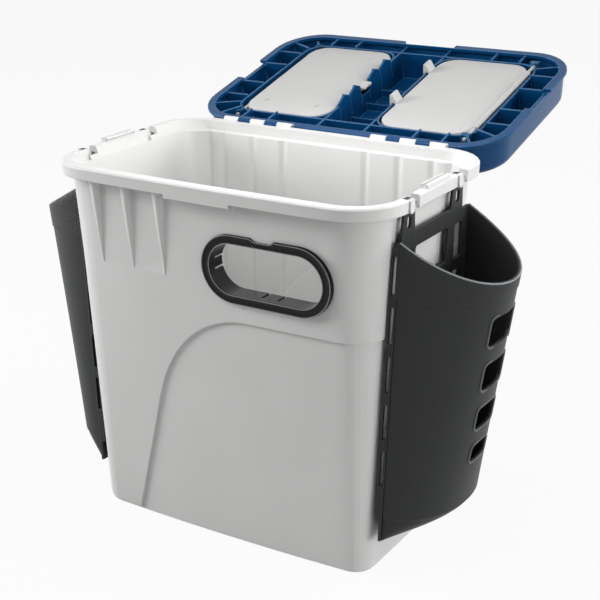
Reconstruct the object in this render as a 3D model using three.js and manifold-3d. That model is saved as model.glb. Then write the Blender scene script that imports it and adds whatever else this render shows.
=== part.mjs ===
// Fishing seat box: a tapered tub with a hinged seat lid, two lid wells with covers,
// a rimmed window in the front wall and a pocket hung on each side.
// Millimetres, +Z up, origin at the centre of the base, -Y is the front with the window.
import * as THREE from "three";
import { mergeVertices } from "three/addons/utils/BufferGeometryUtils.js";
import Module from "manifold-3d";

const wasm = await Module();
wasm.setup();

// Driving sizes

const overrun = 2;
const seatGap = 0.3;
const mergeDistance = 0.0001;

const tub = {
  bottomWidth: 295.6,
  bottomDepth: 169.4,
  topWidth: 324.3,
  topDepth: 198.9,
  taperHeight: 324,
  bottomRadius: 20,
  topRadius: 36.5,
  frontBow: 3.7,
  wall: 3,
  floor: 3.5,
  outerFillet: 8,
  innerFillet: 6,
  cornerSteps: 7,
  frontSteps: 6,
  filletSteps: 3,
};

const rim = {
  top: 346,
  overhang: 10.5,
  skirtDepth: 11.3,
  skirtWall: 2.2,
  flange: 3,
  edgeRound: 1.5,
  neckWall: 4,
  underTurn: 3,
  wallFlare: 1.4,
  innerLip: 3.2,
  sideLip: 5.5,
  lipTurn: 1.6,
};

// The lower panel is set back from the wall inside this curved edge.
const panel = {
  depth: 2,
  top: 225.5,
  footX: -101,
  bendX: -62,
  bendZ: 138,
  pullX: -46,
  pullZ: 190,
  easeX: -10,
  easeZ: 224,
  crownX: 36,
  curveSteps: 18,
};

// Half-round ridges that run down from the rim and fade into the wall.
const ridge = {
  radius: 7.4,
  tipRadius: 0.4,
  tipHeight: 257,
  pitch: 35.3,
  firstX: 46,
  count: 3,
  fluteShare: 0.28,
  sides: 14,
};

const windowHole = {
  offsetShare: 0.1872,
  below: 71.5,
  bandWidth: 129.6,
  bandHeight: 63,
  band: 8.3,
  bandThickness: 3.4,
  bandRound: 1.2,
  sleeveWall: 2.2,
  sleeveDepth: 17,
  sleeveGap: 0.5,
  dipX: 59,
  dipWidth: 25,
  dipDepth: 3.2,
  dipRamp: 6,
  tabLength: 14,
  tabSlit: 1.6,
  tabReach: 1.3,
  tabHeight: 3,
  steps: 13,
};

const hinge = {
  inset: 1.05,
  rise: 0.4,
  knuckleRadius: 3.3,
  pinRadius: 1.5,
  pinGap: 0.3,
  turnGap: 0.6,
  firstX: 44.3,
  knuckleLength: 16.4,
  pitch: 31.4,
  count: 3,
  sideGap: 0.5,
  beamDepth: 9,
  beamWidth: 11.6,
  endBeam: 1.2,
  sides: 12,
};

const latch = {
  halfWidth: 33.5,
  drop: 3.4,
  gussetWidth: 2.4,
};

// Side hangers: a neck slides in the rim and comes out at a notch behind it.
const hanger = {
  centreY: -2.4,
  spacingShare: 0.455,
  notchWidth: 10.2,
  travel: 9.4,
  neckWidth: 7,
  neckThickness: 2.5,
  headWidth: 7.6,
  headThickness: 4.8,
  headHeight: 2.4,
  headSink: 0.3,
  ledge: 3.2,
  slideGap: 0.4,
  tongueWidth: 8,
  tongueProud: 1.2,
  tongueDrop: 1.2,
  tongueTop: 1,
  notchReach: 10.5,
  lipSlotWidth: 5.6,
  lipSlotDrop: 10.5,
  lipSlotBack: 1.2,
};

const handleBlock = {
  y: -5.5,
  length: 41,
  width: 8,
  height: 3.8,
  inset: 1.2,
  grooveWidth: 2.6,
  grooveDepth: 2.2,
  edge: 1,
};

// Lid sizes count from the hinge axis, with the lid closed.
const lid = {
  sideInset: 4.3,
  frontInset: 3.3,
  height: 35.2,
  radius: 47.5,
  minRadius: 12,
  axisInset: 1.6,
  edge: -0.1,
  edgeRound: 0.7,
  lipHeight: 3.4,
  lipStep: 3,
  flangeWidth: 8,
  wall: 2.6,
  roof: 2.6,
  topInset: 6,
  topRound: 8,
  crown: 1.6,
  crownReach: 60,
  crownShare: 0.7,
  cornerSteps: 9,
  wellSteps: 6,
  edgeSteps: 4,
  rib: 2,
  ribEdge: 1.6,
  ribSink: 1.5,
  wallEdge: 3.8,
  wellShift: 3.6,
  wellInsetY: 24.5,
  wellInsetX: 33.3,
  wellInnerX: 25,
  wellRadius: 22,
  channelHalf: 26,
  channelRibHeight: 8,
  cornerEase: 7,
  notchGap: 2,
  notchRise: 1.2,
  pullHalf: 30.3,
  sideRibShares: [-0.65, -0.28, 0.28, 0.65],
  endRibShares: [0.595, 0.82],
  channelRibShares: [-0.4, 0, 0.4],
  cornerRibDegrees: [22, 55],
};

const finger = {
  tabShift: -0.5,
  gap: 17.5,
  rearLength: 45,
  frontLength: 49,
  slit: 1.4,
  slitEnd: 21,
  gapDepth: 13.5,
  shoulder: 1.5,
  tip: -3.5,
  peakShare: 0.42,
  barb: 1.2,
  barbHalf: 5,
};

const cover = {
  axisInset: 8,
  rightAxisZ: 5,
  leftAxisZ: 8.6,
  face: 3.2,
  wall: 2.1,
  rimHeight: 7,
  round: 3.2,
  roundShare: 0.3,
  crown: 0.7,
  crownInset: 24,
  radius: 21,
  gap: 0.35,
  edgeGap: 0.9,
  barrelRadius: 3,
  barrelReach: 5,
  pinRadius: 1.9,
  pinOut: 4,
  seatInset: 2,
  seatOut: 3,
  seatHalf: 4.2,
  hookShares: [-0.555, 0.34],
  hookLength: 13,
  hookWall: 2.2,
  hookTip: -5.4,
  hookFoot: 14.5,
  tabGap: 0.9,
  tabEnd: 21.5,
  tabDrop: 1.2,
};

// Pockets are drawn flat and then leaned onto the side wall.
const pocket = {
  centreY: -2.8,
  bottom: 36,
  mouthBack: 311,
  mouthFall: 0.573,
  mouthEase: 0.075,
  mouthSteps: 10,
  topHalfWidth: 65,
  bottomHalfWidth: 70.5,
  topDepth: 79.8,
  bottomDepth: 46.3,
  wall: 2.4,
  foot: 3,
  bellyPower: 1.5,
  bellySteps: 6,
  steps: 16,
  lowBand: 58,
  lowStep: 0.9,
  collar: 262,
  collarProud: 0.8,
  slotRows: [
    { height: 230, wide: 44, tall: 27 },
    { height: 187.3, wide: 39.5, tall: 25.5 },
    { height: 146.5, wide: 34.5, tall: 21.5 },
    { height: 111, wide: 29.5, tall: 17 },
  ],
  slotRadius: 4.5,
  slotSteps: 3,
  holeSteps: 1,
  pegRows: 3,
  pegFirst: 78,
  pegPitch: 66,
  pegInset: 5.4,
  pegRadius: 1.5,
  pegHead: 1.2,
  pegHeadRadius: 3,
  pegSides: 8,
  bossRadius: 3.8,
  bossLength: 9,
  frameEdge: 1,
  shoulder: 310.5,
  barTop: 315,
  armShift: 5.3,
  armTopWidth: 17.6,
  armWidth: 22.6,
  armClear: 1.6,
  armSlitZ: 324.5,
  armSlitWidth: 7.4,
  armSlitHeight: 12,
  windowWidth: 61,
  windowRadius: 1.6,
  windows: [[60, 118], [130, 256], [268, 300]],
  gapCount: 5,
  gapTop: 282.5,
  gapPitch: 44,
  gapReach: 46.6,
  gapWidth: 15,
  gapHeight: 33,
  gapRadius: 1.5,
  flangeGap: 1.2,
  flangeLow: 56,
  flangeEase: 12,
  flangeGapWall: 1.4,
  flangeGapSink: 1,
  sliver: 0.1,
};

const openDegrees = 165.7;

// Shape helpers

function pointsOnArc(centreX, centreY, radius, from, to, steps) {
  const points = [];
  for (let step = 0; step <= steps; step += 1) {
    const angle = from + ((to - from) * step) / steps;
    points.push(new THREE.Vector2(centreX + radius * Math.cos(angle), centreY + radius * Math.sin(angle)));
  }
  return points;
}

// Rounded rectangle, counter-clockwise. The front edge can bow outward.
function roundedOutline(halfX, halfY, radius, bow = 0, steps = tub.cornerSteps, frontSteps = 0) {
  const points = [];
  const corners = [[1, 1], [-1, 1], [-1, -1], [1, -1]];
  corners.forEach(([signX, signY], index) => {
    const start = (index * Math.PI) / 2;
    const centreX = signX * (halfX - radius);
    const centreY = signY * (halfY - radius);
    points.push(...pointsOnArc(centreX, centreY, radius, start, start + Math.PI / 2, steps));
    if (index === 2) {
      for (let step = 1; step < frontSteps; step += 1) {
        const x = centreX + (2 * (halfX - radius) * step) / frontSteps;
        points.push(new THREE.Vector2(x, -halfY));
      }
    }
  });
  for (const point of points) {
    if (point.y < 0) point.y -= bow * (1 - (point.x / halfX) ** 2);
  }
  return points;
}

// A closed body through a stack of rings with the same number of points.
function loft(rings) {
  const count = rings[0].length;
  const positions = rings.flat().flatMap((point) => [point.x, point.y, point.z]);
  const indices = [];
  for (let level = 0; level + 1 < rings.length; level += 1) {
    for (let index = 0; index < count; index += 1) {
      const next = (index + 1) % count;
      const a = level * count + index;
      const b = level * count + next;
      indices.push(a, b, b + count, a, b + count, a + count);
    }
  }
  const flat = (ring) => ring.map((point) => new THREE.Vector2(point.x, point.y));
  const last = (rings.length - 1) * count;
  for (const [a, b, c] of THREE.ShapeUtils.triangulateShape(flat(rings[0]), [])) {
    indices.push(a, c, b);
  }
  for (const [a, b, c] of THREE.ShapeUtils.triangulateShape(flat(rings.at(-1)), [])) {
    indices.push(last + a, last + b, last + c);
  }
  const geometry = new THREE.BufferGeometry();
  geometry.setAttribute("position", new THREE.Float32BufferAttribute(positions, 3));
  geometry.setIndex(indices);
  return geometry;
}

function atHeight(outline, z) {
  return outline.map((point) => new THREE.Vector3(point.x, point.y, z));
}

// A geometry with closed faces becomes a solid that can be joined and cut.
function solid(geometry) {
  const plain = geometry.clone();
  plain.deleteAttribute("normal");
  plain.deleteAttribute("uv");
  const merged = mergeVertices(plain, mergeDistance);
  const vertProperties = new Float32Array(merged.attributes.position.array);
  const triVerts = new Uint32Array(merged.index.array);
  return new wasm.Manifold(new wasm.Mesh({ numProp: 3, vertProperties, triVerts }));
}

function geometryOf(body) {
  const mesh = body.getMesh();
  const indexed = new THREE.BufferGeometry();
  indexed.setAttribute("position", new THREE.Float32BufferAttribute(mesh.vertProperties, 3));
  indexed.setIndex(Array.from(mesh.triVerts));
  return indexed;
}

function joined(bodies) {
  return bodies.reduce((sum, body) => sum.add(body));
}

function without(body, cutters) {
  return cutters.reduce((rest, cutter) => rest.subtract(cutter), body);
}

// A box from its lowest to its highest corner.
function block(low, high) {
  const size = high.map((value, axis) => value - low[axis]);
  const geometry = new THREE.BoxGeometry(...size);
  geometry.translate(...low.map((value, axis) => value + size[axis] / 2));
  return solid(geometry);
}

function shapeOf(points) {
  return new THREE.Shape(points);
}

// An outline in X and Z, carried along Y.
function alongY(points, fromY, toY) {
  const geometry = new THREE.ExtrudeGeometry(shapeOf(points), { depth: toY - fromY, bevelEnabled: false });
  geometry.rotateX(Math.PI / 2);
  geometry.translate(0, toY, 0);
  return solid(geometry);
}

// An outline in Y and Z, carried along X.
function alongX(points, fromX, toX) {
  const geometry = new THREE.ExtrudeGeometry(shapeOf(points), { depth: toX - fromX, bevelEnabled: false });
  geometry.applyMatrix4(new THREE.Matrix4().makeBasis(
    new THREE.Vector3(0, 1, 0),
    new THREE.Vector3(0, 0, 1),
    new THREE.Vector3(1, 0, 0),
  ));
  geometry.translate(fromX, 0, 0);
  return solid(geometry);
}

function rodAlongX(radius, fromX, toX, y, z, sides = hinge.sides) {
  const geometry = new THREE.CylinderGeometry(radius, radius, toX - fromX, sides);
  geometry.rotateZ(Math.PI / 2);
  geometry.translate((fromX + toX) / 2, y, z);
  return solid(geometry);
}

function rodAlongY(radius, fromY, toY, x, z, sides = hinge.sides) {
  const geometry = new THREE.CylinderGeometry(radius, radius, toY - fromY, sides);
  geometry.translate(x, (fromY + toY) / 2, z);
  return solid(geometry);
}

// The same body on the other side of the middle plane.
function mirrored(body) {
  const geometry = geometryOf(body);
  geometry.scale(-1, 1, 1);
  const index = geometry.index.array;
  for (let corner = 0; corner < index.length; corner += 3) {
    [index[corner], index[corner + 1]] = [index[corner + 1], index[corner]];
  }
  return solid(geometry);
}

// Tub

function wallAt(z) {
  const share = z / tub.taperHeight;
  return {
    halfX: (tub.bottomWidth + (tub.topWidth - tub.bottomWidth) * share) / 2,
    halfY: (tub.bottomDepth + (tub.topDepth - tub.bottomDepth) * share) / 2,
    radius: tub.bottomRadius + (tub.topRadius - tub.bottomRadius) * share,
  };
}

// A ring that follows the tapered wall at height z, moved outward by offset. The sides can move on their own.
function wallRing(z, offset, sideOffset = offset) {
  const { halfX, halfY, radius } = wallAt(z);
  const outline = roundedOutline(
    halfX + sideOffset, halfY + offset, radius + offset, tub.frontBow, tub.cornerSteps, tub.frontSteps,
  );
  return atHeight(outline, z);
}

function wallBody(profile) {
  return solid(loft(profile.map(([offset, z, sideOffset]) => wallRing(z, offset, sideOffset))));
}

const skirtBottom = rim.top - rim.skirtDepth;
const flangeBottom = rim.top - rim.flange;
const rimHalfX = wallAt(rim.top).halfX + rim.overhang;
const rimHalfY = wallAt(rim.top).halfY + rim.overhang;
const skirtInner = rim.overhang - rim.skirtWall;
const hingeY = rimHalfY - hinge.inset;
const hingeZ = rim.top + hinge.rise;
const windowX = tub.topWidth * windowHole.offsetShare;
const windowZ = rim.top - windowHole.below;
const wallLeanY = (tub.topDepth - tub.bottomDepth) / 2 / tub.taperHeight;

function filletProfile(offset, bottom, radius) {
  return pointsOnArc(offset - radius, bottom + radius, radius, -Math.PI / 2, 0, tub.filletSteps)
    .map((point) => [point.x, point.y]);
}

function outerProfile() {
  return [
    ...filletProfile(0, 0, tub.outerFillet),
    [0, ridge.tipHeight],
    [rim.wallFlare, skirtBottom],
    [rim.neckWall, skirtBottom + rim.underTurn],
    [rim.neckWall, flangeBottom],
    [skirtInner, flangeBottom],
    [skirtInner, skirtBottom],
    [rim.overhang, skirtBottom],
    [rim.overhang, rim.top - rim.edgeRound],
    [rim.overhang - rim.edgeRound, rim.top],
  ];
}

// Inside, a ledge runs along the front and the rear below the rim. The sides slope out to the rim instead.
function cavityProfile(offset) {
  const eased = offset + rim.wallFlare;
  const sideRun = (rim.sideLip - rim.wallFlare) / rim.skirtDepth;
  return [
    ...filletProfile(offset, tub.floor, tub.innerFillet),
    [offset, ridge.tipHeight],
    [eased, skirtBottom],
    [offset + rim.innerLip, skirtBottom + rim.lipTurn, eased + sideRun * rim.lipTurn],
    [offset + rim.innerLip, rim.top, offset + rim.sideLip],
    [offset + rim.innerLip, rim.top + overrun, offset + rim.sideLip],
  ];
}

function panelOutline(farX) {
  const bend = new THREE.Vector2(panel.bendX, panel.bendZ);
  const crown = new THREE.Vector2(panel.crownX, panel.top);
  const pull = new THREE.Vector2(panel.pullX, panel.pullZ);
  const ease = new THREE.Vector2(panel.easeX, panel.easeZ);
  const foot = new THREE.Vector2(panel.footX, 0);
  const slope = (bend.x - foot.x) / bend.y;
  const curve = new THREE.CubicBezierCurve(bend, pull, ease, crown);
  return [
    new THREE.Vector2(foot.x - slope * overrun, -overrun),
    new THREE.Vector2(farX, -overrun),
    new THREE.Vector2(farX, panel.top),
    ...curve.getPoints(panel.curveSteps).reverse(),
  ];
}

// What the set-back panel takes off a wall surface at the given offset.
function panelCut(offset) {
  const farX = rimHalfX + overrun;
  const farY = rimHalfY + overrun;
  const region = alongY(panelOutline(farX), -farY, farY);
  const inner = wallBody([[offset - panel.depth, -2 * overrun], [offset - panel.depth, panel.top + overrun]]);
  return region.subtract(inner);
}

const ridgePlaces = Array.from({ length: ridge.count }, (_, index) => ridge.firstX + ridge.pitch * index);

// One ridge as a slender cone that leans with the wall.
function ridgeCone(x, side, topZ, inward, share = 1) {
  const full = flangeBottom + rim.flange / 2 - ridge.tipHeight;
  const length = topZ - ridge.tipHeight;
  const topRadius = ridge.tipRadius + ((ridge.radius * share - ridge.tipRadius) * length) / full;
  const geometry = new THREE.CylinderGeometry(topRadius, ridge.tipRadius, length, ridge.sides);
  geometry.rotateX(Math.PI / 2);
  geometry.translate(0, 0, length / 2);
  geometry.rotateX(-side * Math.atan(wallLeanY));
  const { halfX, halfY } = wallAt(ridge.tipHeight);
  const bow = side < 0 ? tub.frontBow * (1 - (x / halfX) ** 2) : 0;
  geometry.translate(x, side * (halfY + bow - inward), ridge.tipHeight);
  return solid(geometry);
}

function ridgeSet(topZ, inward, rearShare) {
  const cones = [];
  for (const x of ridgePlaces) {
    cones.push(ridgeCone(-x, -1, topZ, inward));
    cones.push(ridgeCone(-x, 1, topZ, inward, rearShare));
    cones.push(ridgeCone(x, 1, topZ, inward, rearShare));
  }
  return cones;
}

// Stadium outline in X and Z round the window's centre.
function stadium(width, height, steps = windowHole.steps) {
  const radius = height / 2;
  const reach = width / 2 - radius;
  return [
    ...pointsOnArc(windowX + reach, windowZ, radius, -Math.PI / 2, Math.PI / 2, steps),
    ...pointsOnArc(windowX - reach, windowZ, radius, Math.PI / 2, (3 * Math.PI) / 2, steps),
  ];
}

const sleeveWidth = windowHole.bandWidth - 2 * (windowHole.band - windowHole.sleeveWall);
const sleeveHeight = windowHole.bandHeight - 2 * (windowHole.band - windowHole.sleeveWall);

function windowCut() {
  const width = sleeveWidth + 2 * windowHole.sleeveGap;
  const height = sleeveHeight + 2 * windowHole.sleeveGap;
  return alongY(stadium(width, height), -rimHalfY - tub.frontBow - overrun, 0);
}

// Hinge knuckles on the rear rim, three on each side of the middle.
const knuckleStarts = Array.from({ length: hinge.count }, (_, index) => hinge.firstX + hinge.pitch * index);
const hingeEnd = knuckleStarts.at(-1) + hinge.knuckleLength;

function tubKnuckle(fromX) {
  const outline = [
    ...pointsOnArc(hingeY, hingeZ, hinge.knuckleRadius, 0, Math.PI, hinge.sides / 2),
    new THREE.Vector2(hingeY - hinge.knuckleRadius, flangeBottom),
    new THREE.Vector2(rimHalfY - rim.edgeRound, skirtBottom + rim.flange),
    new THREE.Vector2(rimHalfY + seatGap, skirtBottom + rim.flange),
  ];
  return alongX(outline, fromX, fromX + hinge.knuckleLength);
}

function hingeBeam() {
  const low = [hinge.firstX - hinge.endBeam, rimHalfY - hinge.beamWidth, rim.top - hinge.beamDepth];
  const high = [hingeEnd + hinge.endBeam, rimHalfY - rim.edgeRound, rim.top - rim.edgeRound];
  return block(low, high);
}

function hingeClearances() {
  const cuts = [];
  for (const start of knuckleStarts.slice(0, -1)) {
    const from = start + hinge.knuckleLength;
    const to = start + hinge.pitch;
    cuts.push(rodAlongX(hinge.knuckleRadius + hinge.turnGap, from, to, hingeY, hingeZ));
  }
  cuts.push(rodAlongX(hinge.pinRadius + hinge.pinGap, hinge.firstX, hingeEnd, hingeY, hingeZ));
  return cuts;
}

// Rim work on the right side. The left side is its mirror image.
const hangerSpacing = tub.topDepth * hanger.spacingShare;
const notchPlaces = [-1, 1].map((side) => hanger.centreY + (side * hangerSpacing) / 2);
const neckX = wallAt(rim.top).halfX + (rim.neckWall + skirtInner) / 2;

function neckY(notchY) {
  return notchY - hanger.travel;
}

function hangerSeat(notchY) {
  const low = neckY(notchY) - hanger.headWidth / 2 - hanger.slideGap - rim.skirtWall;
  const high = notchY + hanger.notchWidth / 2 + rim.skirtWall;
  const innerX = wallAt(rim.top).halfX;
  return block(
    [innerX, low, flangeBottom - hanger.ledge],
    [rimHalfX - rim.edgeRound, high, rim.top - rim.edgeRound],
  );
}

function hangerCuts(notchY) {
  const notchHigh = notchY + hanger.notchWidth / 2;
  const notchLow = notchY - hanger.notchWidth / 2;
  const headLow = neckY(notchY) - hanger.headWidth / 2 - hanger.slideGap;
  const neckLow = neckY(notchY) - hanger.neckWidth / 2 - hanger.slideGap;
  const top = rim.top + overrun;
  const headHalf = hanger.headThickness / 2 + hanger.slideGap;
  const neckHalf = hanger.neckThickness / 2 + hanger.slideGap;
  return [
    block(
      [rimHalfX - hanger.notchReach, notchLow, skirtBottom - overrun],
      [rimHalfX + overrun, notchHigh, top],
    ),
    block([neckX - headHalf, headLow, flangeBottom], [neckX + headHalf, notchHigh, top]),
    block([neckX - neckHalf, neckLow, skirtBottom], [neckX + neckHalf, notchHigh, top]),
  ];
}

// Shallow upright slots in the sloping side, one at each neck.
function lipSlot(y) {
  const half = hanger.lipSlotWidth / 2;
  const wallX = wallAt(rim.top).halfX;
  return block(
    [wallX - tub.wall - overrun, y - half, rim.top - hanger.lipSlotDrop],
    [wallX + hanger.lipSlotBack, y + half, rim.top + overrun],
  );
}

function tongue(notchY) {
  const radius = hanger.tongueWidth / 2;
  const low = skirtBottom - hanger.tongueDrop;
  const outline = [
    ...pointsOnArc(neckY(notchY), low + radius, radius, Math.PI, 2 * Math.PI, tub.cornerSteps),
    new THREE.Vector2(neckY(notchY) + radius, rim.top - hanger.tongueTop),
    new THREE.Vector2(neckY(notchY) - radius, rim.top - hanger.tongueTop),
  ];
  return alongX(outline, rimHalfX - rim.skirtWall, rimHalfX + hanger.tongueProud);
}

function raisedBlock() {
  const outer = rimHalfX - handleBlock.inset;
  const inner = outer - handleBlock.width;
  const top = rim.top + handleBlock.height;
  const middle = (outer + inner) / 2;
  const outline = [
    [outer, rim.top - rim.edgeRound],
    [outer, top - handleBlock.edge],
    [outer - handleBlock.edge, top],
    [middle + handleBlock.grooveWidth / 2, top],
    [middle + handleBlock.grooveWidth / 2, top - handleBlock.grooveDepth],
    [middle - handleBlock.grooveWidth / 2, top - handleBlock.grooveDepth],
    [middle - handleBlock.grooveWidth / 2, top],
    [inner + handleBlock.edge, top],
    [inner, top - handleBlock.edge],
    [inner, rim.top - rim.edgeRound],
  ].map(([x, z]) => new THREE.Vector2(x, z));
  const half = handleBlock.length / 2;
  return alongY(outline, handleBlock.y - half, handleBlock.y + half);
}

// The middle of the front skirt hangs lower, with a small gusset at each end.
function latchLip() {
  const low = skirtBottom - latch.drop;
  const high = skirtBottom + latch.drop;
  const band = wallBody([[rim.overhang, low], [rim.overhang, high]])
    .subtract(wallBody([[skirtInner, low - overrun], [skirtInner, high + overrun]]));
  const front = -rimHalfY - tub.frontBow - overrun;
  const lip = band.intersect(block([-latch.halfWidth, front, low], [latch.halfWidth, 0, high]));
  const gussets = [-1, 1].map((side) => {
    const x = side * latch.halfWidth;
    const near = [x - latch.gussetWidth / 2, -wallAt(low).halfY - skirtInner - overrun, low - latch.drop / 2];
    const far = [x + latch.gussetWidth / 2, -wallAt(low).halfY, flangeBottom + rim.flange / 2];
    return block(near, far);
  });
  return joined([lip, ...gussets]);
}

function makeTub() {
  const sides = [notchPlaces.map(hangerSeat), [raisedBlock()], notchPlaces.map(tongue)].flat();
  const sideCuts = [...notchPlaces.flatMap(hangerCuts), ...notchPlaces.map(neckY).map(lipSlot)];
  const knuckles = knuckleStarts.map(tubKnuckle);
  const rear = [hingeBeam(), ...knuckles];
  const outer = without(wallBody(outerProfile()), [panelCut(0)]);
  const ridges = ridgeSet(flangeBottom + rim.flange / 2, 0, 1);
  const body = joined([
    outer, ...ridges, latchLip(),
    ...rear, ...rear.map(mirrored),
    ...sides, ...sides.map(mirrored),
  ]);
  const cavity = joined([
    without(wallBody(cavityProfile(-tub.wall)), [panelCut(-tub.wall)]),
    ...ridgeSet(skirtBottom, tub.wall, ridge.fluteShare),
  ]);
  const rearCuts = hingeClearances();
  return without(body, [
    cavity, windowCut(), ...rearCuts, ...rearCuts.map(mirrored), ...sideCuts, ...sideCuts.map(mirrored),
  ]);
}

// Window ring: a band on the wall, a sleeve through it and snap tabs behind.

const wallFace = (() => {
  const { halfX, halfY } = wallAt(windowZ);
  return -halfY - tub.frontBow * (1 - (windowX / halfX) ** 2);
})();
const bandFront = wallFace - windowHole.bandThickness;
const sleeveBack = wallFace + windowHole.sleeveDepth;

// The ring leans with the front wall.
function leanWithFront(body) {
  const geometry = geometryOf(body);
  geometry.applyMatrix4(new THREE.Matrix4().set(
    1, 0, 0, 0,
    0, 1, -wallLeanY, wallLeanY * windowZ,
    0, 0, 1, 0,
    0, 0, 0, 1,
  ));
  return solid(geometry);
}

// The top edge of the band dips in the middle.
function windowDip() {
  const top = windowZ + windowHole.bandHeight / 2;
  const half = windowHole.dipWidth / 2;
  const outline = [
    [-half, top + overrun],
    [-half, top],
    [windowHole.dipRamp - half, top - windowHole.dipDepth],
    [half - windowHole.dipRamp, top - windowHole.dipDepth],
    [half, top],
    [half, top + overrun],
  ].map(([x, z]) => new THREE.Vector2(x + windowHole.dipX, z));
  return alongY(outline, bandFront - overrun, wallFace + 2 * windowHole.bandThickness);
}

// Snap tabs above and below, each between two slits in the sleeve.
function windowTab(side) {
  const edge = windowZ + (side * sleeveHeight) / 2;
  const root = edge - side * windowHole.sleeveWall;
  const peak = edge + side * windowHole.tabReach;
  const half = windowHole.tabLength / 2;
  return block(
    [windowX - half, sleeveBack - windowHole.tabHeight, Math.min(root, peak)],
    [windowX + half, sleeveBack, Math.max(root, peak)],
  );
}

function windowSlits(side) {
  const edge = windowZ + (side * sleeveHeight) / 2;
  const inner = edge - side * 2 * windowHole.sleeveWall;
  const outer = edge + side * windowHole.sleeveWall;
  const half = windowHole.tabSlit / 2;
  return [-1, 1].map((end) => {
    const x = windowX + end * (windowHole.tabLength / 2 + windowHole.tabSlit);
    return block(
      [x - half, wallFace + tub.wall + overrun, Math.min(inner, outer)],
      [x + half, sleeveBack + overrun, Math.max(inner, outer)],
    );
  });
}

function makeWindowRing() {
  const round = windowHole.bandRound;
  const { bandWidth, bandHeight, band, bandThickness } = windowHole;
  const plate = leanWithFront(joined([
    alongY(stadium(bandWidth, bandHeight), bandFront + round, wallFace + bandThickness),
    alongY(stadium(bandWidth - 2 * round, bandHeight - 2 * round), bandFront, wallFace),
  ]));
  const wall = wallBody([
    [seatGap, windowZ - bandHeight], [seatGap, ridge.tipHeight], [rim.wallFlare + seatGap, skirtBottom],
  ]);
  const passage = alongY(stadium(sleeveWidth, sleeveHeight), -2 * rimHalfY, 0);
  const sleeve = leanWithFront(joined([
    alongY(stadium(sleeveWidth, sleeveHeight), bandFront + round, sleeveBack), windowTab(-1), windowTab(1),
  ]));
  const bore = alongY(
    stadium(bandWidth - 2 * band, bandHeight - 2 * band), bandFront - overrun, sleeveBack + overrun,
  );
  const ring = plate.subtract(wall.subtract(passage)).add(sleeve);
  return without(ring, [bore, windowDip(), ...windowSlits(-1), ...windowSlits(1)]);
}

// Hinge pins, one on each side of the middle.
function makeHingePin() {
  const from = hinge.firstX + hinge.pinGap;
  const to = hingeEnd - hinge.pinGap;
  return rodAlongX(hinge.pinRadius, from, to, hingeY, hingeZ);
}

// Lid, modelled closed with the hinge axis at the origin and the front towards -Y

const lidWidth = 2 * (rimHalfX - lid.sideInset);
const lidDepth = rimHalfY + hingeY - lid.axisInset - lid.frontInset + lid.edgeRound;
const wellOuterX = lidWidth / 2 - lid.wellInsetX;
const coverAxisX = wellOuterX - cover.axisInset;
const lidBack = -lid.axisInset;
const lidCentreY = lidBack - lidDepth / 2;
const wellCentreY = lidCentreY - lid.wellShift;
const wellHalfY = lidDepth / 2 - lid.wellInsetY;
const wellCentreX = (wellOuterX + lid.wellInnerX) / 2;
const wellHalfX = (wellOuterX - lid.wellInnerX) / 2;
const roofZ = lid.height - lid.roof;

function lidRing([inset, z]) {
  const outline = roundedOutline(
    lidWidth / 2 - inset, lidDepth / 2 - inset, Math.max(lid.radius - inset, lid.minRadius), 0, lid.cornerSteps,
  );
  return outline.map((point) => new THREE.Vector3(point.x, point.y + lidCentreY, z));
}

function lidShell() {
  const topArc = pointsOnArc(
    lid.topInset + lid.topRound, lid.height - lid.topRound, lid.topRound, Math.PI, Math.PI / 2, lid.edgeSteps,
  ).map((point) => [point.x, point.y]);
  const crownInset = lid.topInset + lid.topRound;
  const outer = [
    [lid.edgeRound, lid.edge],
    [0, lid.edge + lid.edgeRound],
    [0, lid.lipHeight - lid.edgeRound],
    [lid.edgeRound, lid.lipHeight],
    [lid.lipStep, lid.lipHeight + lid.edgeRound],
    ...topArc,
    [crownInset + lid.crownReach / 2, lid.height + lid.crown * lid.crownShare],
    [crownInset + lid.crownReach, lid.height + lid.crown],
  ];
  const innerTop = lid.topInset + lid.wall;
  const hollow = [
    [lid.flangeWidth, lid.edge - overrun],
    [lid.flangeWidth, lid.lipHeight],
    [lid.lipStep + lid.wall, lid.lipHeight + lid.edgeRound + lid.wall],
    [innerTop, roofZ - lid.topRound],
    [innerTop + lid.topRound / 2, roofZ],
  ];
  const middle = outer.map(([inset, z]) => [inset + lid.wall / 2, z - lid.roof / 2]);
  const [whole, inside, core] = [outer, hollow, middle].map((profile) => solid(loft(profile.map(lidRing))));
  return { shell: whole.subtract(inside), core };
}

// A wall standing on the roof of the lid, with rounded corners seen from below.
function wellWall(side) {
  const ring = (inset, z) => roundedOutline(
    wellHalfX - inset, wellHalfY - inset, lid.wellRadius - inset, 0, lid.wellSteps,
  ).map((point) => new THREE.Vector3(point.x + side * wellCentreX, point.y + wellCentreY, z));
  const outer = solid(loft([ring(0, lid.wallEdge), ring(0, roofZ + lid.roof / 2)]));
  const inner = solid(loft([ring(lid.rib, lid.wallEdge - overrun), ring(lid.rib, roofZ)]));
  return outer.subtract(inner);
}

// A straight rib from one point to another, from the given edge up to the roof.
function ribBetween(fromX, fromY, toX, toY, edge = lid.ribEdge, thickness = lid.rib) {
  const from = new THREE.Vector2(fromX, fromY);
  const to = new THREE.Vector2(toX, toY);
  const geometry = new THREE.BoxGeometry(from.distanceTo(to), thickness, roofZ + lid.roof / 2 - edge);
  geometry.rotateZ(to.clone().sub(from).angle());
  geometry.translate((fromX + toX) / 2, (fromY + toY) / 2, (roofZ + lid.roof / 2 + edge) / 2);
  return solid(geometry);
}

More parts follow.
